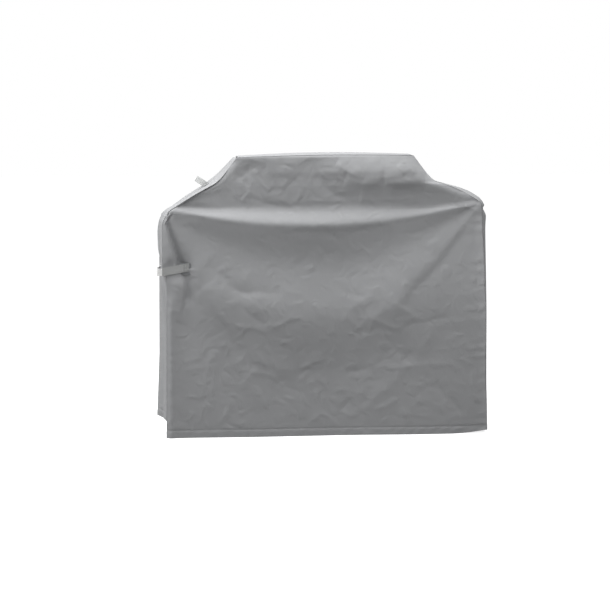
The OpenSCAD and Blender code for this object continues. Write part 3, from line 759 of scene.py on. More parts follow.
def front_plane(size, x, z, share, row, turned):
    """How far the front's side seams stand before their plane."""
    inset = x - x[:, :1]
    edge = x[:, -1:] - x
    lean = right_lean(size, z) * smooth(2 * share - 1) - size.corner_turn * corner_share(size, z) * turned
    rolls = left_roll(size, row) * near_seam(inset, size.left_roll_w)
    rolls = rolls + right_roll(size, row) * near_seam(edge, size.lid_roll_w)
    return lean - rolls + right_rim(size, z) * np.exp(-np.maximum(edge, 0) / size.rim_w)


def panel_points(size, face):
    """Points of the draped front or back panel, row by row from the hem."""
    x, z, share, row, deep = panel_frame(size, face)
    out = through(SWAGS[face], share, z)
    plane = half_depth(size, row)
    plain = 0.03
    loose = smooth(share / plain) * smooth((1 - share) / plain) * smooth((size.lid_top_h - z) / plain)
    fine = crumple(x, z, CRUMPLE_SEEDS[face])
    if face == FRONT:
        for lines, crest in ((FRONT_CREASES, CREASE_CREST), (FRONT_FOLDS, FOLD_CREST)):
            for points, widths, height in lines:
                fine = fine + crease(x, z, points, widths, height, crest)
        turned = near_seam((1 - share) * (size.right_hem_x - size.left_hem_x), size.corner_w)
        out = front_drape(size, x, z, share, out)
        plane = plane + front_plane(size, x, z, share, row, turned)
        z = z + size.corner_lift * corner_share(size, z) * turned
    out = out + fine * loose + seam_pucker(share, z) + hem_shape(size, x, z)
    return np.stack([x, face * (plane + out - deep), z], -1)


# The gusset: along it, 0 to 3 are the left side's rows, 3 to 4 is the top, and 4 to 7 the right side's rows
def by_side(left, value, size, row):
    """A value of the seams at these rows, taken on the left side where left is true and else on the right."""
    return np.where(left[..., None], value(size, LEFT, row), value(size, RIGHT, row))


def over_top(value, size, top):
    """A value of the seams at the lid's top, carried from its left end to its right end."""
    return lerp(value(size, LEFT, 3.0), value(size, RIGHT, 3.0), top[..., None])


def gusset_path(size, along):
    """Place (x, z) at the front seam, shift to the back seam, outward direction, row and share of the top."""
    row = np.where(along < 3, along, np.where(along > 4, 7 - along, 3))
    top = np.clip(along - 3, 0, 1)
    on_top = ((along >= 3) & (along <= 4))[..., None]
    over = over_top(seam_line, size, top)
    over[..., 1] += size.lid_arch * np.sin(np.pi * top)
    place = np.where(on_top, over, by_side(along <= 3, seam_line, size, row))
    shift = np.where(on_top, over_top(back_shift, size, top), by_side(along <= 3, back_shift, size, row))
    outward = np.where(on_top, np.array([0.0, 1.0]), by_side(along <= 3.5, seam_outward, size, row))
    return place, shift, outward, row, top


def wall_bulge(size, left, place, row):
    """How far a side wall or slope stands out between its seams."""
    height = place[..., 1]
    wall_fade, swell_fade, strap_pull, pull_h = 0.06, 0.12, 0.008, 0.03
    shoulder = np.where(left, size.left_shoulder_h, size.right_shoulder_h)
    wall = (size.half_wide - np.abs(place[..., 0])) * rise(height, shoulder, shoulder - wall_fade)
    waist = size.left_waist * rise(height, *WAIST_HEIGHTS)
    waist = waist + strap_pull * bell(height - STRAP_PIVOT.z, pull_h)
    swell = size.right_swell * rise(height, shoulder, shoulder - swell_fade)
    wall = np.where(left, wall * size.wall_share - waist, wall + swell)
    sag = np.where(left, size.left_sag, 0) * np.sin(np.pi * np.clip(row - 1, 0, 1))
    dome = size.slope_dome + np.where(left, 0, size.right_dome * rise(row, 1.8, 1.2))
    return np.where(row > 1, 0, wall) + dome * rise(row, 0.97, 1) - sag


def gusset_folds(y, height, left):
    """Upright folds in the side walls, which the shoulder and the strap gather."""
    wall = rise(height, *FOLD_HEIGHTS) * smooth(1.2 - np.abs(y) / 0.26)
    lean = 0.06 * (height - 0.5)
    left_folds = wave(y + lean, 0.115, 0.0045, 0.7) + wave(y - lean, 0.068, 0.003)
    left_folds = left_folds + wave(y + lean, 0.031, 0.0012, 2 * np.sin(9 * height))
    right_folds = wave(y - lean, 0.16, 0.0035) + wave(y + lean, 0.09, 0.002, 1.1)
    pinch = (1 - 0.8 * bell(height - STRAP_PIVOT.z, 0.05)) * (1 + 0.3 * bell(height - 0.86, 0.07))
    return np.where(left, left_folds * pinch, right_folds) * wall


def gusset_points(size, along, across, deep_along=0.0, deep_across=0.0):
    """Points of the gusset. across runs from -1 at the back seam to 1 at the front seam."""
    along, across = np.broadcast_arrays(np.asarray(along, float)[:, None], across)
    place, shift, outward, row, top = gusset_path(size, along)
    place = place + shift * (np.clip((1 - across) / 2, 0, 1) ** 1.6)[..., None]
    x, height = place[..., 0], place[..., 1]
    left, right = along < 3, along > 4
    on_top = ~left & ~right
    half = half_depth(size, row)
    forward = right_lean(size, height) - size.corner_turn * corner_share(size, height)
    forward = forward - right_roll(size, row) + right_rim(size, height)
    top_end = right_roll(size, 3.0) * near_seam(size.lid_top_x - x, size.lid_roll_w)
    forward = np.where(right, forward, np.where(left, -left_roll(size, row), -top_end))
    edge = 1 - size.lip_flat / size.half_deep
    y = -across * half - forward * smooth(across / edge)
    bulge = wall_bulge(size, along <= 3.5, place, row)
    bulge = np.where(on_top, size.slope_dome + size.lid_dome * np.sin(np.pi * top), bulge)
    right_full, left_wall_full, slope_full = 14, 3, 6
    fullness = np.where(right, right_full, np.where(along < 1, left_wall_full, slope_full))
    held = np.minimum(np.abs(across) / edge, 1) ** fullness
    out = bulge * (1 - held) + gusset_folds(y, height, along <= 3.5)
    out = out + np.where(row < 1, hem_shape(size, y, height), 0) - np.maximum(deep_along, deep_across)
    turned = np.where(right, near_seam((1 - across) * half, size.corner_w), 0)
    lifted = height + turned * size.corner_lift * corner_share(size, height)
    return np.stack([x + outward[..., 0] * out, y, lifted + outward[..., 1] * out], -1)


def gusset_across(size, along, columns=66):
    """Shares across the gusset with the rolled edges at both seams, and their depths, for each row along it."""
    reach, depth = seam_lip(size)
    on_top = (along >= 3) & (along <= 4)
    sides = np.where(along < 3, lip_share(LEFT, FRONT, along), lip_share(RIGHT, FRONT, 7 - along))
    front = np.where(on_top, size.top_lip, sides)[:, None]
    back = np.where(on_top, size.top_lip, 1.0)[:, None]
    back_edge = 1 - reach * back / size.half_deep
    front_edge = 1 - reach * front / size.half_deep
    q = np.linspace(0, 1, columns)[1:-1]
    middle = lerp(-back_edge[:, -1:], front_edge[:, -1:], q)
    shares = np.concatenate([-back_edge, middle, front_edge[:, ::-1]], 1)
    deep = np.concatenate([depth * back, np.zeros_like(middle), depth[::-1] * front], 1)
    return shares, deep


# Making meshes
def grid_normals(points):
    """Unit normals of a grid of points, on the side that its faces show."""
    across = np.gradient(points, axis=1)
    along = np.gradient(points, axis=0)
    return unit(np.cross(across, along))


def grid_piece(name, points):
    """A grid primitive with each point moved to its draped place, and its lengths as the UV map."""
    rows, columns = points.shape[:2]
    bpy.ops.object.select_all(action="DESELECT")
    bpy.ops.mesh.primitive_grid_add(x_subdivisions=columns - 1, y_subdivisions=rows - 1, size=1)
    piece = bpy.context.object
    piece.name = name
    piece.data.name = name
    piece.data.vertices.foreach_set("co", points.reshape(-1).astype(np.float32))
    steps = [np.linalg.norm(np.diff(points, axis=axis), axis=-1) for axis in (1, 0)]
    u = np.concatenate([[0], np.cumsum(np.median(steps[0], axis=0))])
    v = np.concatenate([[0], np.cumsum(np.median(steps[1], axis=1))])
    flat = np.stack(np.meshgrid(u, v), -1).reshape(-1, 2)
    corners = np.zeros(len(piece.data.loops), np.int32)
    piece.data.loops.foreach_get("vertex_index", corners)
    piece.data.uv_layers[0].data.foreach_set("uv", flat[corners].reshape(-1).astype(np.float32))
    piece.data.update()
    return piece


def activate(piece):
    """Makes a piece the active object and the only one selected."""
    bpy.ops.object.select_all(action="DESELECT")
    bpy.context.view_layer.objects.active = piece
    piece.select_set(True)


def cloth_piece(name, points, thickness, materials, offset=0.0):
    """A layer of cloth on a grid of points, its outer face at offset along the normals."""
    piece = grid_piece(name, points + grid_normals(points) * offset)
    for material in materials:
        piece.data.materials.append(material)
    activate(piece)
    layer = piece.modifiers.new("Layer", "SOLIDIFY")
    layer.thickness = thickness
    layer.offset = -1
    layer.use_rim = True
    layer.material_offset = len(materials) - 1
    bpy.ops.object.modifier_apply(modifier=layer.name)
    bpy.ops.object.shade_smooth_by_angle(angle=math.radians(50))
    return piece


def finish_piece(piece, body, slot, *nodes):
    """Lets a piece ride on its body and stand for its solids."""
    if body:
        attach(piece, body)
    if nodes:
        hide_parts(*nodes)
    return piece


def lined_cloth(word, points):
    """One of the cover's own pieces of cloth, with its coating inside."""
    piece = cloth_piece(f"{word}_cloth", points, sizes().cloth_t, [cloth_material(), lining_material()])
    return finish_piece(piece, "cover", "cover_fabric", word)


def hem_facing(word, strip):
    """The turned-up facing inside one side's hem."""
    size = sizes()
    inside = -size.cloth_t - size.layer_gap
    hem = cloth_piece(f"{word}_hem_facing", strip, size.hem_t, [cloth_material()], inside)
    return finish_piece(hem, "cover", "cover_fabric", f"{word}_hem")


def stitch_rows(name, starts, ends, normals, material):
    """Stitches from start to end points, each a bead that tapers into the cloth."""
    radius = sizes().stitch_r
    count = BEAD_SIDES
    along = ends - starts
    side = unit(np.cross(normals, along))
    turn = (2 * np.pi * np.arange(count) / count)[:, None]
    ring = np.cos(turn) * side[:, None, :] + np.sin(turn) * normals[:, None, :]
    points = []
    for share, girth in BEAD_RINGS:
        centre = starts + along * share - normals * radius * (1 - girth)
        points.append(centre[:, None, :] + ring * radius * girth)
    points = np.stack(points, 1)
    bead = []
    for k in range(0, count * (len(BEAD_RINGS) - 1), count):
        for i in range(count):
            j = (i + 1) % count
            bead.append((k + count + i, k + count + j, k + j, k + i))
    whole = count * len(BEAD_RINGS)
    bead.append(tuple(range(count)))
    bead.append(tuple(range(whole - 1, whole - 1 - count, -1)))
    faces = [tuple(n * whole + i for i in face) for n in range(len(starts)) for face in bead]
    mesh = bpy.data.meshes.new(name)
    mesh.from_pydata(points.reshape(-1, 3).tolist(), [], faces)
    mesh.materials.append(material)
    piece = bpy.data.objects.new(name, mesh)
    bpy.context.scene.collection.objects.link(piece)
    activate(piece)
    bpy.ops.object.mode_set(mode="EDIT")
    bpy.ops.mesh.select_all(action="SELECT")
    bpy.ops.mesh.normals_make_consistent(inside=False)
    bpy.ops.object.mode_set(mode="OBJECT")
    bpy.ops.object.shade_smooth()
    return piece


def stitch_line(line, normals):
    """Start and end points of the stitches along a line of points, with the cloth's normals there."""
    size = sizes()
    lengths = np.concatenate([[0], np.cumsum(np.linalg.norm(np.diff(line, axis=0), axis=1))])
    pitch = size.stitch_l * STITCH_PITCH
    begins = np.arange(pitch / 2, lengths[-1] - pitch, pitch)

    def at(distances, values):
        return np.stack([np.interp(distances, lengths, values[:, axis]) for axis in range(3)], -1)

    ups = unit(at(begins + size.stitch_l / 2, normals))
    return at(begins, line), at(begins + size.stitch_l, line), ups


def box_line(corners, steps=8):
    """Points along a stitched box and its cross, from corner to corner."""
    q = np.linspace(0, 1, steps)[:, None]
    corners = np.array(corners)
    return np.concatenate([lerp(start, end, q) for start, end in zip(corners[:-1], corners[1:])])


# Materials
def feed(tree, node, inputs):
    """Feeds a node's inputs, by name or number, with sockets or plain values."""
    for key, value in inputs.items():
        if isinstance(value, bpy.types.NodeSocket):
            tree.links.new(value, node.inputs[key])
        else:
            node.inputs[key].default_value = value


def add_node(tree, kind, inputs=None, **settings):
    """Adds a node with these settings and inputs."""
    node = tree.nodes.new(kind)
    for key, value in settings.items():
        setattr(node, key, value)
    feed(tree, node, inputs or {})
    return node


def math_node(tree, operation, *values):
    """A maths node fed by sockets or plain numbers; returns its result."""
    return add_node(tree, "ShaderNodeMath", dict(enumerate(values)), operation=operation).outputs[0]


def node_group(name, numbers, outputs):
    """A new shader node group with a vector and these numbers as inputs, and its input and output nodes."""
    group = bpy.data.node_groups.new(name, "ShaderNodeTree")
    group.interface.new_socket("Vector", in_out="INPUT", socket_type="NodeSocketVector")
    for label, value in numbers:
        socket = group.interface.new_socket(label, in_out="INPUT", socket_type="NodeSocketFloat")
        socket.default_value = value
    for label in outputs:
        group.interface.new_socket(label, in_out="OUTPUT", socket_type="NodeSocketFloat")
    return group, group.nodes.new("NodeGroupInput").outputs, group.nodes.new("NodeGroupOutput")


def weave_group():
    """Plain weave: threads that pass over and under each other along the cloth's own grain."""
    if "Plain weave" in bpy.data.node_groups:
        return bpy.data.node_groups["Plain weave"]
    group, start, end = node_group("Plain weave", (("Threads", 900.0), ("Ribs", 1.0)), ("Height", "Shade"))
    split = add_node(group, "ShaderNodeSeparateXYZ", {0: start["Vector"]})
    waves = []
    for axis, ribs in (("X", start["Ribs"]), ("Y", 1.0)):
        turns = math_node(group, "MULTIPLY", split.outputs[axis], start["Threads"])
        turns = math_node(group, "MULTIPLY", turns, ribs)
        waves.append(math_node(group, "SINE", math_node(group, "MULTIPLY", turns, math.pi)))
    crossing = math_node(group, "MULTIPLY", *waves)
    feed(group, end, {"Height": math_node(group, "ABSOLUTE", crossing),
                      "Shade": math_node(group, "MULTIPLY_ADD", crossing, 0.5, 0.5)})
    return group


def drift_group():
    """Slow and fine drifts of tone, as in cloth that has been folded and handled."""
    if "Tone drift" in bpy.data.node_groups:
        return bpy.data.node_groups["Tone drift"]
    numbers = (("Slow", 3.0), ("Fine", 60.0), ("Amount", 0.06))
    group, start, end = node_group("Tone drift", numbers, ("Factor", "Grain"))
    noises = []
    for label, detail in (("Slow", 3.0), ("Fine", 4.0)):
        inputs = {"Detail": detail, "Vector": start["Vector"], "Scale": start[label]}
        noise = add_node(group, "ShaderNodeTexNoise", inputs)
        noises.append(math_node(group, "SUBTRACT", noise.outputs["Fac"], 0.5))
    both = math_node(group, "ADD", noises[0], math_node(group, "MULTIPLY", noises[1], 0.5))
    scaled = math_node(group, "MULTIPLY", both, start["Amount"])
    feed(group, end, {"Factor": math_node(group, "ADD", scaled, 1.0), "Grain": noises[1]})
    return group


def crumple_group():
    """Fine creases all over, fainter where the swag pulls the cloth tight."""
    if "Crumple" in bpy.data.node_groups:
        return bpy.data.node_groups["Crumple"]
    group, start, end = node_group("Crumple", (("Scale", 20.0), ("Depth", 0.001)), ("Height",))
    split = add_node(group, "ShaderNodeSeparateXYZ", {0: start["Vector"]})
    inputs = {"Vector": start["Vector"], "Scale": start["Scale"], "Detail": 4.0, "Roughness": 0.55,
              "Distortion": 0.5}
    noise = add_node(group, "ShaderNodeTexNoise", inputs, noise_type="RIDGED_MULTIFRACTAL")
    away = math_node(group, "ABSOLUTE", math_node(group, "SUBTRACT", split.outputs["Z"], TIGHT_HEIGHT))
    loose = math_node(group, "MINIMUM", math_node(group, "MULTIPLY_ADD", away, 3.0, 0.5), 1.0)
    height = math_node(group, "MULTIPLY", noise.outputs["Fac"], loose)
    feed(group, end, {"Height": math_node(group, "MULTIPLY", height, start["Depth"])})
    return group


def new_material(name):
    """A new material with its node tree and shader."""
    material = bpy.data.materials.new(name)
    material.use_nodes = True
    return material, material.node_tree, material.node_tree.nodes["Principled BSDF"]


def woven_material(name, colour, threads, ribs=1.0, bump=0.25, rough=0.8, sheen=0.15, amount=0.08, crumple=0.0):
    """A woven finish: thread relief, drifts of tone and an uneven roughness."""
    if name in bpy.data.materials:
        return bpy.data.materials[name]
    material, tree, shader = new_material(name)
    places = tree.nodes.new("ShaderNodeTexCoord").outputs
    inputs = {"Threads": threads, "Ribs": ribs, "Vector": places["UV"]}
    weave = add_node(tree, "ShaderNodeGroup", inputs, node_tree=weave_group()).outputs
    inputs = {"Amount": amount, "Vector": places["Object"]}
    drift = add_node(tree, "ShaderNodeGroup", inputs, node_tree=drift_group()).outputs
    factor = math_node(tree, "ADD", drift["Factor"], math_node(tree, "MULTIPLY", weave["Shade"], 0.10))
    inputs = {"Factor": 1.0, "A": (*colour, 1.0), "B": factor}
    mix = add_node(tree, "ShaderNodeMix", inputs, data_type="RGBA", blend_type="MULTIPLY")
    height = math_node(tree, "MULTIPLY", weave["Height"], 0.5 / threads)
    height = math_node(tree, "ADD", height, math_node(tree, "MULTIPLY", drift["Grain"], GRAIN_DEPTH))
    relief = add_node(tree, "ShaderNodeBump", {"Strength": bump, "Distance": 1.0, "Height": height})
    feed(tree, shader, {"Base Color": mix.outputs["Result"],
                        "Roughness": math_node(tree, "MULTIPLY_ADD", drift["Grain"], 0.2, rough),
                        "Sheen Weight": sheen,
                        "Sheen Roughness": 0.5,
                        "Specular IOR Level": 0.3,
                        "Normal": relief.outputs["Normal"]})
    if crumple:
        inputs = {"Depth": crumple, "Vector": places["Object"]}
        creases = add_node(tree, "ShaderNodeGroup", inputs, node_tree=crumple_group())
        folds = add_node(tree, "ShaderNodeBump", {"Distance": 1.0, "Height": creases.outputs["Height"]})
        tree.links.new(folds.outputs["Normal"], relief.inputs["Normal"])
    return material


def cloth_material():
    return woven_material("Cover cloth", colours().cloth, 900, sheen=0.12, crumple=0.0030)


def lining_material():
    return woven_material("Coated lining", colours().lining, 900, bump=0.12, rough=0.6, sheen=0.0)


def tape_material():
    return woven_material("Binding tape", colours().tape, 700, ribs=0.5)


def webbing_material():
    return woven_material("Webbing", colours().webbing, 420, ribs=2.0, bump=0.5)


def hook_material():
    return woven_material("Hook tape", colours().hook, 520, bump=0.6, sheen=0.0, amount=0.03)


def loop_material():
    return woven_material("Loop tape", colours().loop, 380, bump=0.6, sheen=0.4)


def thread_material():
    return woven_material("Sewing thread", colours().thread, 1800, ribs=0.3)


def floor_material():
    """Pale for the camera and for mirrors, with the shadow; dimmer for the light it throws back up."""
    material, tree, shader = new_material("Pale floor")
    rays = tree.nodes.new("ShaderNodeLightPath").outputs
    seen = math_node(tree, "MAXIMUM", rays["Is Camera Ray"], rays["Is Glossy Ray"])
    seen = math_node(tree, "MAXIMUM", seen, rays["Is Transmission Ray"])
    inputs = {"Factor": seen, "A": (*colours().floor_dim, 1), "B": (*colours().floor, 1)}
    mix = add_node(tree, "ShaderNodeMix", inputs, data_type="RGBA")
    feed(tree, shader, {"Base Color": mix.outputs["Result"],
                        "Roughness": 0.9,
                        "Specular IOR Level": 0.0,
                        "Emission Color": (1, 1, 1, 1),
                        "Emission Strength": math_node(tree, "MULTIPLY", seen, FLOOR_GLOW)})
    return material


class COVER_OT_panels(bpy.types.Operator):
    """Front and back panels, draped between the shoulders and stitched at the hem"""
    bl_idname = "cover.panels"
    bl_label = "Front and back panels"

    def execute(self, context):
        size = sizes()
        lip = len(seam_lip(size)[0])
        for face, word in ((FRONT, "front"), (BACK, "back")):
            points = panel_points(size, face)
            if face == BACK:
                points = points[:, ::-1]
            piece = lined_cloth(f"{word}_panel", points)
            heights = points[:, points.shape[1] // 2, 2]
            facing_rows = np.searchsorted(heights, size.hem_h * FACING_SHARE) + 1
            hem = hem_facing(word, points[:facing_rows, lip:-lip])
            row = np.argmin(np.abs(heights - size.hem_h))
            normals = grid_normals(points)[row, lip:-lip]
            line = points[row, lip:-lip] + normals * size.stitch_r * STITCH_RISE
            stitches = stitch_rows(f"{word}_hem_stitches", *stitch_line(line, normals), thread_material())
            finish_piece(stitches, "cover", "cover_fabric")
        return {"FINISHED"}


class COVER_OT_gusset(bpy.types.Operator):
    """Gusset over the sides and the lid, in three lengths, with its hems"""
    bl_idname = "cover.gusset"
    bl_label = "Gusset"

    def execute(self, context):
        size = sizes()
        rows, rows_deep = panel_rows(size)
        reach, depth = seam_lip(size)
        lip = reach / (2 * size.lid_top_x)
        inner = np.linspace(3 + lip[-1], 4 - lip[-1], 90)[1:-1]
        top = np.concatenate([3 + lip, inner, 4 - lip[::-1]])
        top_deep = np.concatenate([depth, np.zeros_like(inner), depth[::-1]])
        facing_rows = np.searchsorted(rows, size.hem_h / size.left_shoulder_h * FACING_SHARE) + 1
        within = slice(len(reach) + 2, -len(reach) - 2)
        lengths = (("left", rows, rows_deep, slice(None, facing_rows)),
                   ("top", top, top_deep, None),
                   ("right", 7 - rows[::-1], rows_deep[::-1], slice(-facing_rows, None)))
        for word, along, along_deep, facing in lengths:
            shares, deep = gusset_across(size, along)
            points = gusset_points(size, along, shares, along_deep[:, None], deep)
            piece = lined_cloth(f"{word}_gusset", points)
            if word == "top":
                continue
            hem = hem_facing(word, points[facing, within])
        return {"FINISHED"}


class COVER_OT_tapes(bpy.types.Operator):
    """Tapes that bind the seams inside"""
    bl_idname = "cover.tapes"
    bl_label = "Seam tapes"

    def tape(self, size, word, points, inside, node):
        piece = cloth_piece(word, points, size.tape_t, [tape_material()], inside)
        finish_piece(piece, "cover", "binding_tape", node)

    def execute(self, context):
        size = sizes()
        inside = -size.cloth_t - 3 * size.layer_gap
        along = np.concatenate([np.linspace(*run) for run in TAPE_RUNS])
        edge_gap, inner_gap, end_gap, seam_gap = 0.002, 0.006, 0.01, 0.1
        edge = 1 - (size.lip_flat + edge_gap) / size.half_deep
        inner = 1 - (size.tape_w + inner_gap) / size.half_deep
        for word, shares in (("front", np.linspace(inner, edge, 5)), ("back", np.linspace(-edge, -inner, 5))):
            points = gusset_points(size, along, shares)
            self.tape(size, f"{word}_seam_tape", points, inside, f"{word}_seam_binding")
        lid_side = np.linalg.norm([size.lid_foot_x - size.lid_top_x, size.lid_top_h - size.lid_foot_h])
        lid = size.cross_half / lid_side
        top = size.cross_half / (2 * size.lid_top_x)
        shares = np.linspace(end_gap - inner, inner - end_gap, 40)
        for word, middle, before, after in (("left", 3.0, lid, top), ("right", 4.0, top, lid)):
            sides = (np.linspace(-before, -seam_gap * before, 6), np.linspace(seam_gap * after, after, 6))
            points = gusset_points(size, middle + np.concatenate(sides), shares)
            self.tape(size, f"{word}_cross_tape", points, inside - size.cross_drop, f"{word}_cross_binding")
        return {"FINISHED"}


class COVER_OT_handle(bpy.types.Operator):
    """Webbing handle on the left slope, with its patches and box stitches"""
    bl_idname = "cover.handle"
    bl_label = "Handle"

    def slope(self, size):
        """Row of the handle's middle on the slope, the slope's length and its tilt."""
        corners = seam_corners(size, LEFT)
        slope = corners[2] - corners[1]
        middle = (FEET_BOX[0].x + FEET_BOX[1].x) / 2
        return 1 + (middle - corners[1][0]) / slope[0], np.linalg.norm(slope), math.atan2(slope[1], slope[0])

    def on_slope(self, size, rows, places):
        """Points of the slope at these rows and depths, places running towards the front."""
        half = half_depth(size, rows[len(rows) // 2])
        points = gusset_points(size, rows, -places / half)
        return np.swapaxes(points, 0, 1)[:, ::-1]

    def patch(self, size, rows, direction, word):
        """The patch under one of the handle's sewn ends."""
        past_end = 0.003
        span = np.linspace(size.handle_half, FEET_REACH + past_end, 9) * direction + HANDLE_PIVOT.y
        points = self.on_slope(size, rows, np.sort(span)[::-1])
        above = size.layer_gap + size.patch_t
        patch = cloth_piece(f"handle_patch_{word}", points, size.patch_t, [tape_material()], above)
        finish_piece(patch, "cover", "binding_tape", "handle_patches")

    def box_stitch(self, size, seat, half_web, direction):
        """Points of the slope under the box stitch on one of the sewn ends."""
        line = []
        for across, out in box_line(HANDLE_BOX_STITCH):
            row = seat + across * half_web
            y = HANDLE_PIVOT.y + direction * lerp(size.handle_half, FEET_REACH, out)
            line.append(gusset_points(size, [row], [-y / half_depth(size, row)])[0, 0])
        return np.array(line)

    def bow(self, size, ground, tip, tilt):
        """Points of the free loop, which lies on the slope at its ends and leans over to its tip."""
        lean = math.atan2(ground[0] - tip[0], tip[2] - ground[2]) - tilt
        widths = np.linspace(0.5, -0.5, 7)[:, None] * size.web_w
        first, twist_share = 0.06, 0.3
        points = []
        for angle in np.linspace(first, np.pi - first, 53):
            share = math.sin(angle)
            centre = lerp(ground, tip, share) + np.array([0, size.handle_half * math.cos(angle), 0])
            turn = tilt + lean * float(smooth(share / twist_share))
            points.append(centre + widths * np.array([math.cos(turn), 0, math.sin(turn)]))
        return np.array(points)

    def webbing(self, size, rows, lift, tilt, normal):
        """The webbing, from its back end over the free loop to its front end."""
        foot_gap = 0.003
        foot = np.linspace(FEET_REACH, size.handle_half + foot_gap, 10)
        feet = [self.on_slope(size, rows, HANDLE_PIVOT.y + places) for places in (foot, -foot[::-1])]
        back_foot, front_foot = [points + grid_normals(points) * lift for points in feet]
        ground = back_foot[-1, 3] * np.array([1, 0, 1]) + np.array([0, HANDLE_PIVOT.y, 0])
        pivot = np.array(HANDLE_PIVOT)
        rest = tilt + math.radians(HANDLE_LEAN)
        tip = pivot + size.handle_rise * np.array([-math.sin(rest), 0, math.cos(rest)])
        strip = np.concatenate([back_foot, self.bow(size, ground, tip, tilt), front_foot])
        piece = cloth_piece("handle_webbing", strip, size.web_t, [webbing_material()])
        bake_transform(piece)
        finish_piece(piece, None, "webbing", "handle_feet", "handle_loop")

    def execute(self, context):
        size = sizes()
        seat, slope_l, tilt = self.slope(size)
        normal = np.array([-math.sin(tilt), 0, math.cos(tilt)])
        half_web = size.web_w / 2 / slope_l
        half_patch = (size.web_w / 2 + size.patch_edge) / slope_l
        patch_rows = np.linspace(seat - half_patch, seat + half_patch, 9)
        lift = size.layer_gap * 2 + size.patch_t + size.web_t
        thread_share, clear = 0.3, 0.0002
        raised = lift + size.stitch_r * thread_share + clear
        beads = []
        for direction, word in ((1, "back"), (-1, "front")):
            self.patch(size, patch_rows, direction, word)
            line = self.box_stitch(size, seat, half_web, direction) + normal * raised
            beads.append(stitch_line(line, np.repeat(normal[None], len(line), 0)))
        beads = [np.concatenate(kind) for kind in zip(*beads)]
        stitches = stitch_rows("handle_stitches", *beads, thread_material())
        finish_piece(stitches, "cover", "webbing")
        self.webbing(size, np.linspace(seat - half_web, seat + half_web, 7), lift, tilt, normal)
        return {"FINISHED"}


class COVER_OT_strap(bpy.types.Operator):
    """Closure strap round the left front corner, with its hook and loop tapes"""
    bl_idname = "cover.strap"
    bl_label = "Strap"

    def path(self, size, start, end, inward=0.0):
        """Points (x, y) from x = start on the front, round the corner and back to y = end, set in by inward."""
        front = STRAP_FOOT_BOX[0].y + inward
        back = STRAP_BOX[0].x + inward
        wall = back - size.strap_stand
        bend = size.strap_bend - inward
        turn_x, turn_y = wall + bend, front + bend
        run = [(x, front) for x in np.linspace(start, turn_x, 60)]
        angles = np.linspace(0, np.pi / 2, 9)[1:]
        turn = [(turn_x - bend * math.sin(a), turn_y - bend * math.cos(a)) for a in angles]
        shares = np.linspace(0, 1, 9)[1:]
        tail = [(lerp(wall, back, float(smooth(q))), lerp(turn_y, end, q)) for q in shares]
        return np.array(run + turn + tail)

    def strip(self, path, width):
        """A band of this width along a path, on the strap's slant."""
        steps = np.concatenate([[0], np.cumsum(np.linalg.norm(np.diff(path, axis=0), axis=1))])
        middle = np.maximum(strap_middle(path[0, 0]) - STRAP_SLANT * steps, TAIL_Z)
        points = np.zeros((len(path), 9, 3))
        points[..., :2] = path[:, None, :]
        points[..., 2] = middle[:, None] + np.linspace(-0.5, 0.5, 9) * width
        return points

    def webbing(self, size, path):
        """The strap's webbing, pressed in along the seams of its sewn end."""
        shown = self.strip(path, size.strap_w)
        groove_d, groove_w = 0.0009, 0.0018
        for seam in STRAP_SEAMS:
            shown[..., 1] += groove_d * bell(shown[..., 0] - path[0, 0] + seam, groove_w)
        piece = cloth_piece("closure_strap_webbing", shown, size.strap_t, [webbing_material()])
        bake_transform(piece)
        finish_piece(piece, None, "webbing", "strap_foot", "closure_strap")

    def loop_tape(self, size):
        """The loop tape on the left wall, under the strap's tail."""
        low, high = LOOP_BOX
        slant = TAIL_Z - STRAP_PIVOT.z
        rows = (np.linspace(low.z, high.z, 9) + slant) / size.left_shoulder_h
        points = gusset_points(size, rows, np.linspace(-high.y, -low.y, 12) / size.half_deep)
        above = size.loop_t + size.layer_gap
        loop = cloth_piece("strap_loop_strip", points, size.loop_t, [loop_material()], above)
        finish_piece(loop, "cover", "loop_tape", "strap_loop_tape")

    def patch(self, size):
        """The patch inside the front panel, behind the strap's sewn end."""
        low, high = PATCH_BOX
        x, z = np.meshgrid(np.linspace(low.x, high.x, 9), np.linspace(low.z, high.z, 9))
        points = np.stack([x, np.full_like(x, high.y - size.patch_t), z], -1)
        patch = cloth_piece("strap_backing_patch", points, size.patch_t, [tape_material()])
        finish_piece(patch, "cover", "binding_tape", "strap_patch")

    def stitches(self, size, end_x):
        """The box stitch on the strap's sewn end."""
        front = STRAP_FOOT_BOX[0].y - size.stitch_r * STITCH_RISE
        line = []
        for out, across in box_line(STRAP_BOX_STITCH):
            x = end_x - lerp(*STRAP_SEAMS, out)
            line.append((x, front, strap_middle(x) + across * size.strap_w / 2))
        normals = np.repeat(np.array([[0.0, -1.0, 0.0]]), len(line), 0)
        # Sewn in the darker tape grey rather than the thread grey: partly the stitches' own colour, partly
        # painted shade of the grooves and the folded sewn end of the strap
        stitches = stitch_rows("strap_stitches", *stitch_line(np.array(line), normals), tape_material())
        finish_piece(stitches, "cover", "webbing")

    def execute(self, context):
        size = sizes()
        end_x = STRAP_FOOT_BOX[1].x + size.strap_end
        path = self.path(size, end_x, STRAP_BOX[1].y)
        self.webbing(size, path[:WEBBING_STEPS])
        start = path[WEBBING_STEPS, 0] + size.hook_under
        below = self.path(size, start, HOOK_BOX[1].y, size.strap_t + size.layer_gap)
        strip = self.strip(below, size.strap_w - size.hook_narrow)
        hook = cloth_piece("strap_hook_strip", strip, size.hook_t, [hook_material()])
        finish_piece(hook, "strap", "hook_tape", "strap_hook_tape")
        self.loop_tape(size)
        self.patch(size)
        self.stitches(size, end_x)
        return {"FINISHED"}


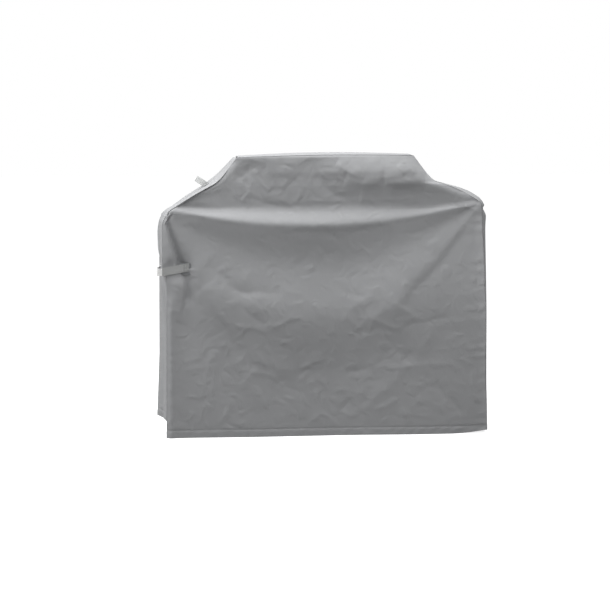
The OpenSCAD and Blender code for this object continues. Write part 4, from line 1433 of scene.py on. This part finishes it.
class COVER_OT_stage(bpy.types.Operator):
    """Floor, backdrop light and camera"""
    bl_idname = "cover.stage"
    bl_label = "Stage"

    def execute(self, context):
        scene = context.scene
        scene.view_settings.view_transform = "Standard"
        bpy.ops.object.select_all(action="DESELECT")
        bpy.ops.mesh.primitive_plane_add(size=FLOOR_W, location=(0, 0, -FLOOR_DROP))
        floor = context.object
        floor.name = "floor"
        bpy.ops.object.transform_apply(location=True, rotation=False, scale=False)
        floor.data.materials.append(floor_material())
        self.world(scene)
        for softbox in SOFTBOXES:
            self.lamp(*softbox)
        self.camera(scene)
        return {"FINISHED"}

    def world(self, scene):
        """White where the camera sees it, and a dim fill for the cover."""
        world = bpy.data.worlds.new("Studio")
        scene.world = world
        world.use_nodes = True
        tree = world.node_tree
        rays = tree.nodes.new("ShaderNodeLightPath").outputs
        seen = math_node(tree, "MAXIMUM", rays["Is Camera Ray"], rays["Is Transmission Ray"])
        strength = math_node(tree, "MULTIPLY_ADD", seen, 1 - WORLD_FILL, WORLD_FILL)
        feed(tree, tree.nodes["Background"], {"Color": (1, 1, 1, 1), "Strength": strength})

    def aim(self, thing, target):
        """Turns a lamp or a camera towards a point."""
        thing.rotation_euler = (Vector(target) - thing.location).to_track_quat("-Z", "Y").to_euler()

    def lamp(self, name, place, target, width, power):
        bpy.ops.object.light_add(type="AREA", location=place)
        lamp = bpy.context.object
        lamp.name = name
        lamp.data.size = width
        lamp.data.energy = power
        self.aim(lamp, target)

    def camera(self, scene):
        bpy.ops.object.camera_add(location=CAMERA_PLACE)
        camera = bpy.context.object
        self.aim(camera, CAMERA_TARGET)
        camera.data.sensor_width = CAMERA_SENSOR
        camera.data.lens = CAMERA_LENS
        scene.camera = camera


class COVER_PT_panel(bpy.types.Panel):
    """Lists the steps that build the cover"""
    bl_label = "Barbecue cover"
    bl_idname = "COVER_PT_panel"
    bl_space_type = "VIEW_3D"
    bl_region_type = "UI"
    bl_category = "Cover"

    def draw(self, context):
        for operator in OPERATORS:
            self.layout.operator(operator.bl_idname)


OPERATORS = (COVER_OT_stage, COVER_OT_panels, COVER_OT_gusset, COVER_OT_tapes, COVER_OT_handle, COVER_OT_strap)
CLASSES = (CoverSizes, CoverColours, *OPERATORS, COVER_PT_panel)


def register():
    for cls in CLASSES:
        bpy.utils.register_class(cls)
    bpy.types.Scene.cover_sizes = PointerProperty(type=CoverSizes)
    bpy.types.Scene.cover_colours = PointerProperty(type=CoverColours)


def unregister():
    del bpy.types.Scene.cover_colours
    del bpy.types.Scene.cover_sizes
    for cls in reversed(CLASSES):
        bpy.utils.unregister_class(cls)


def main():
    register()
    for operator in OPERATORS:
        group, name = operator.bl_idname.split(".")
        getattr(getattr(bpy.ops, group), name)()


if __name__ == "__main__":
    main()
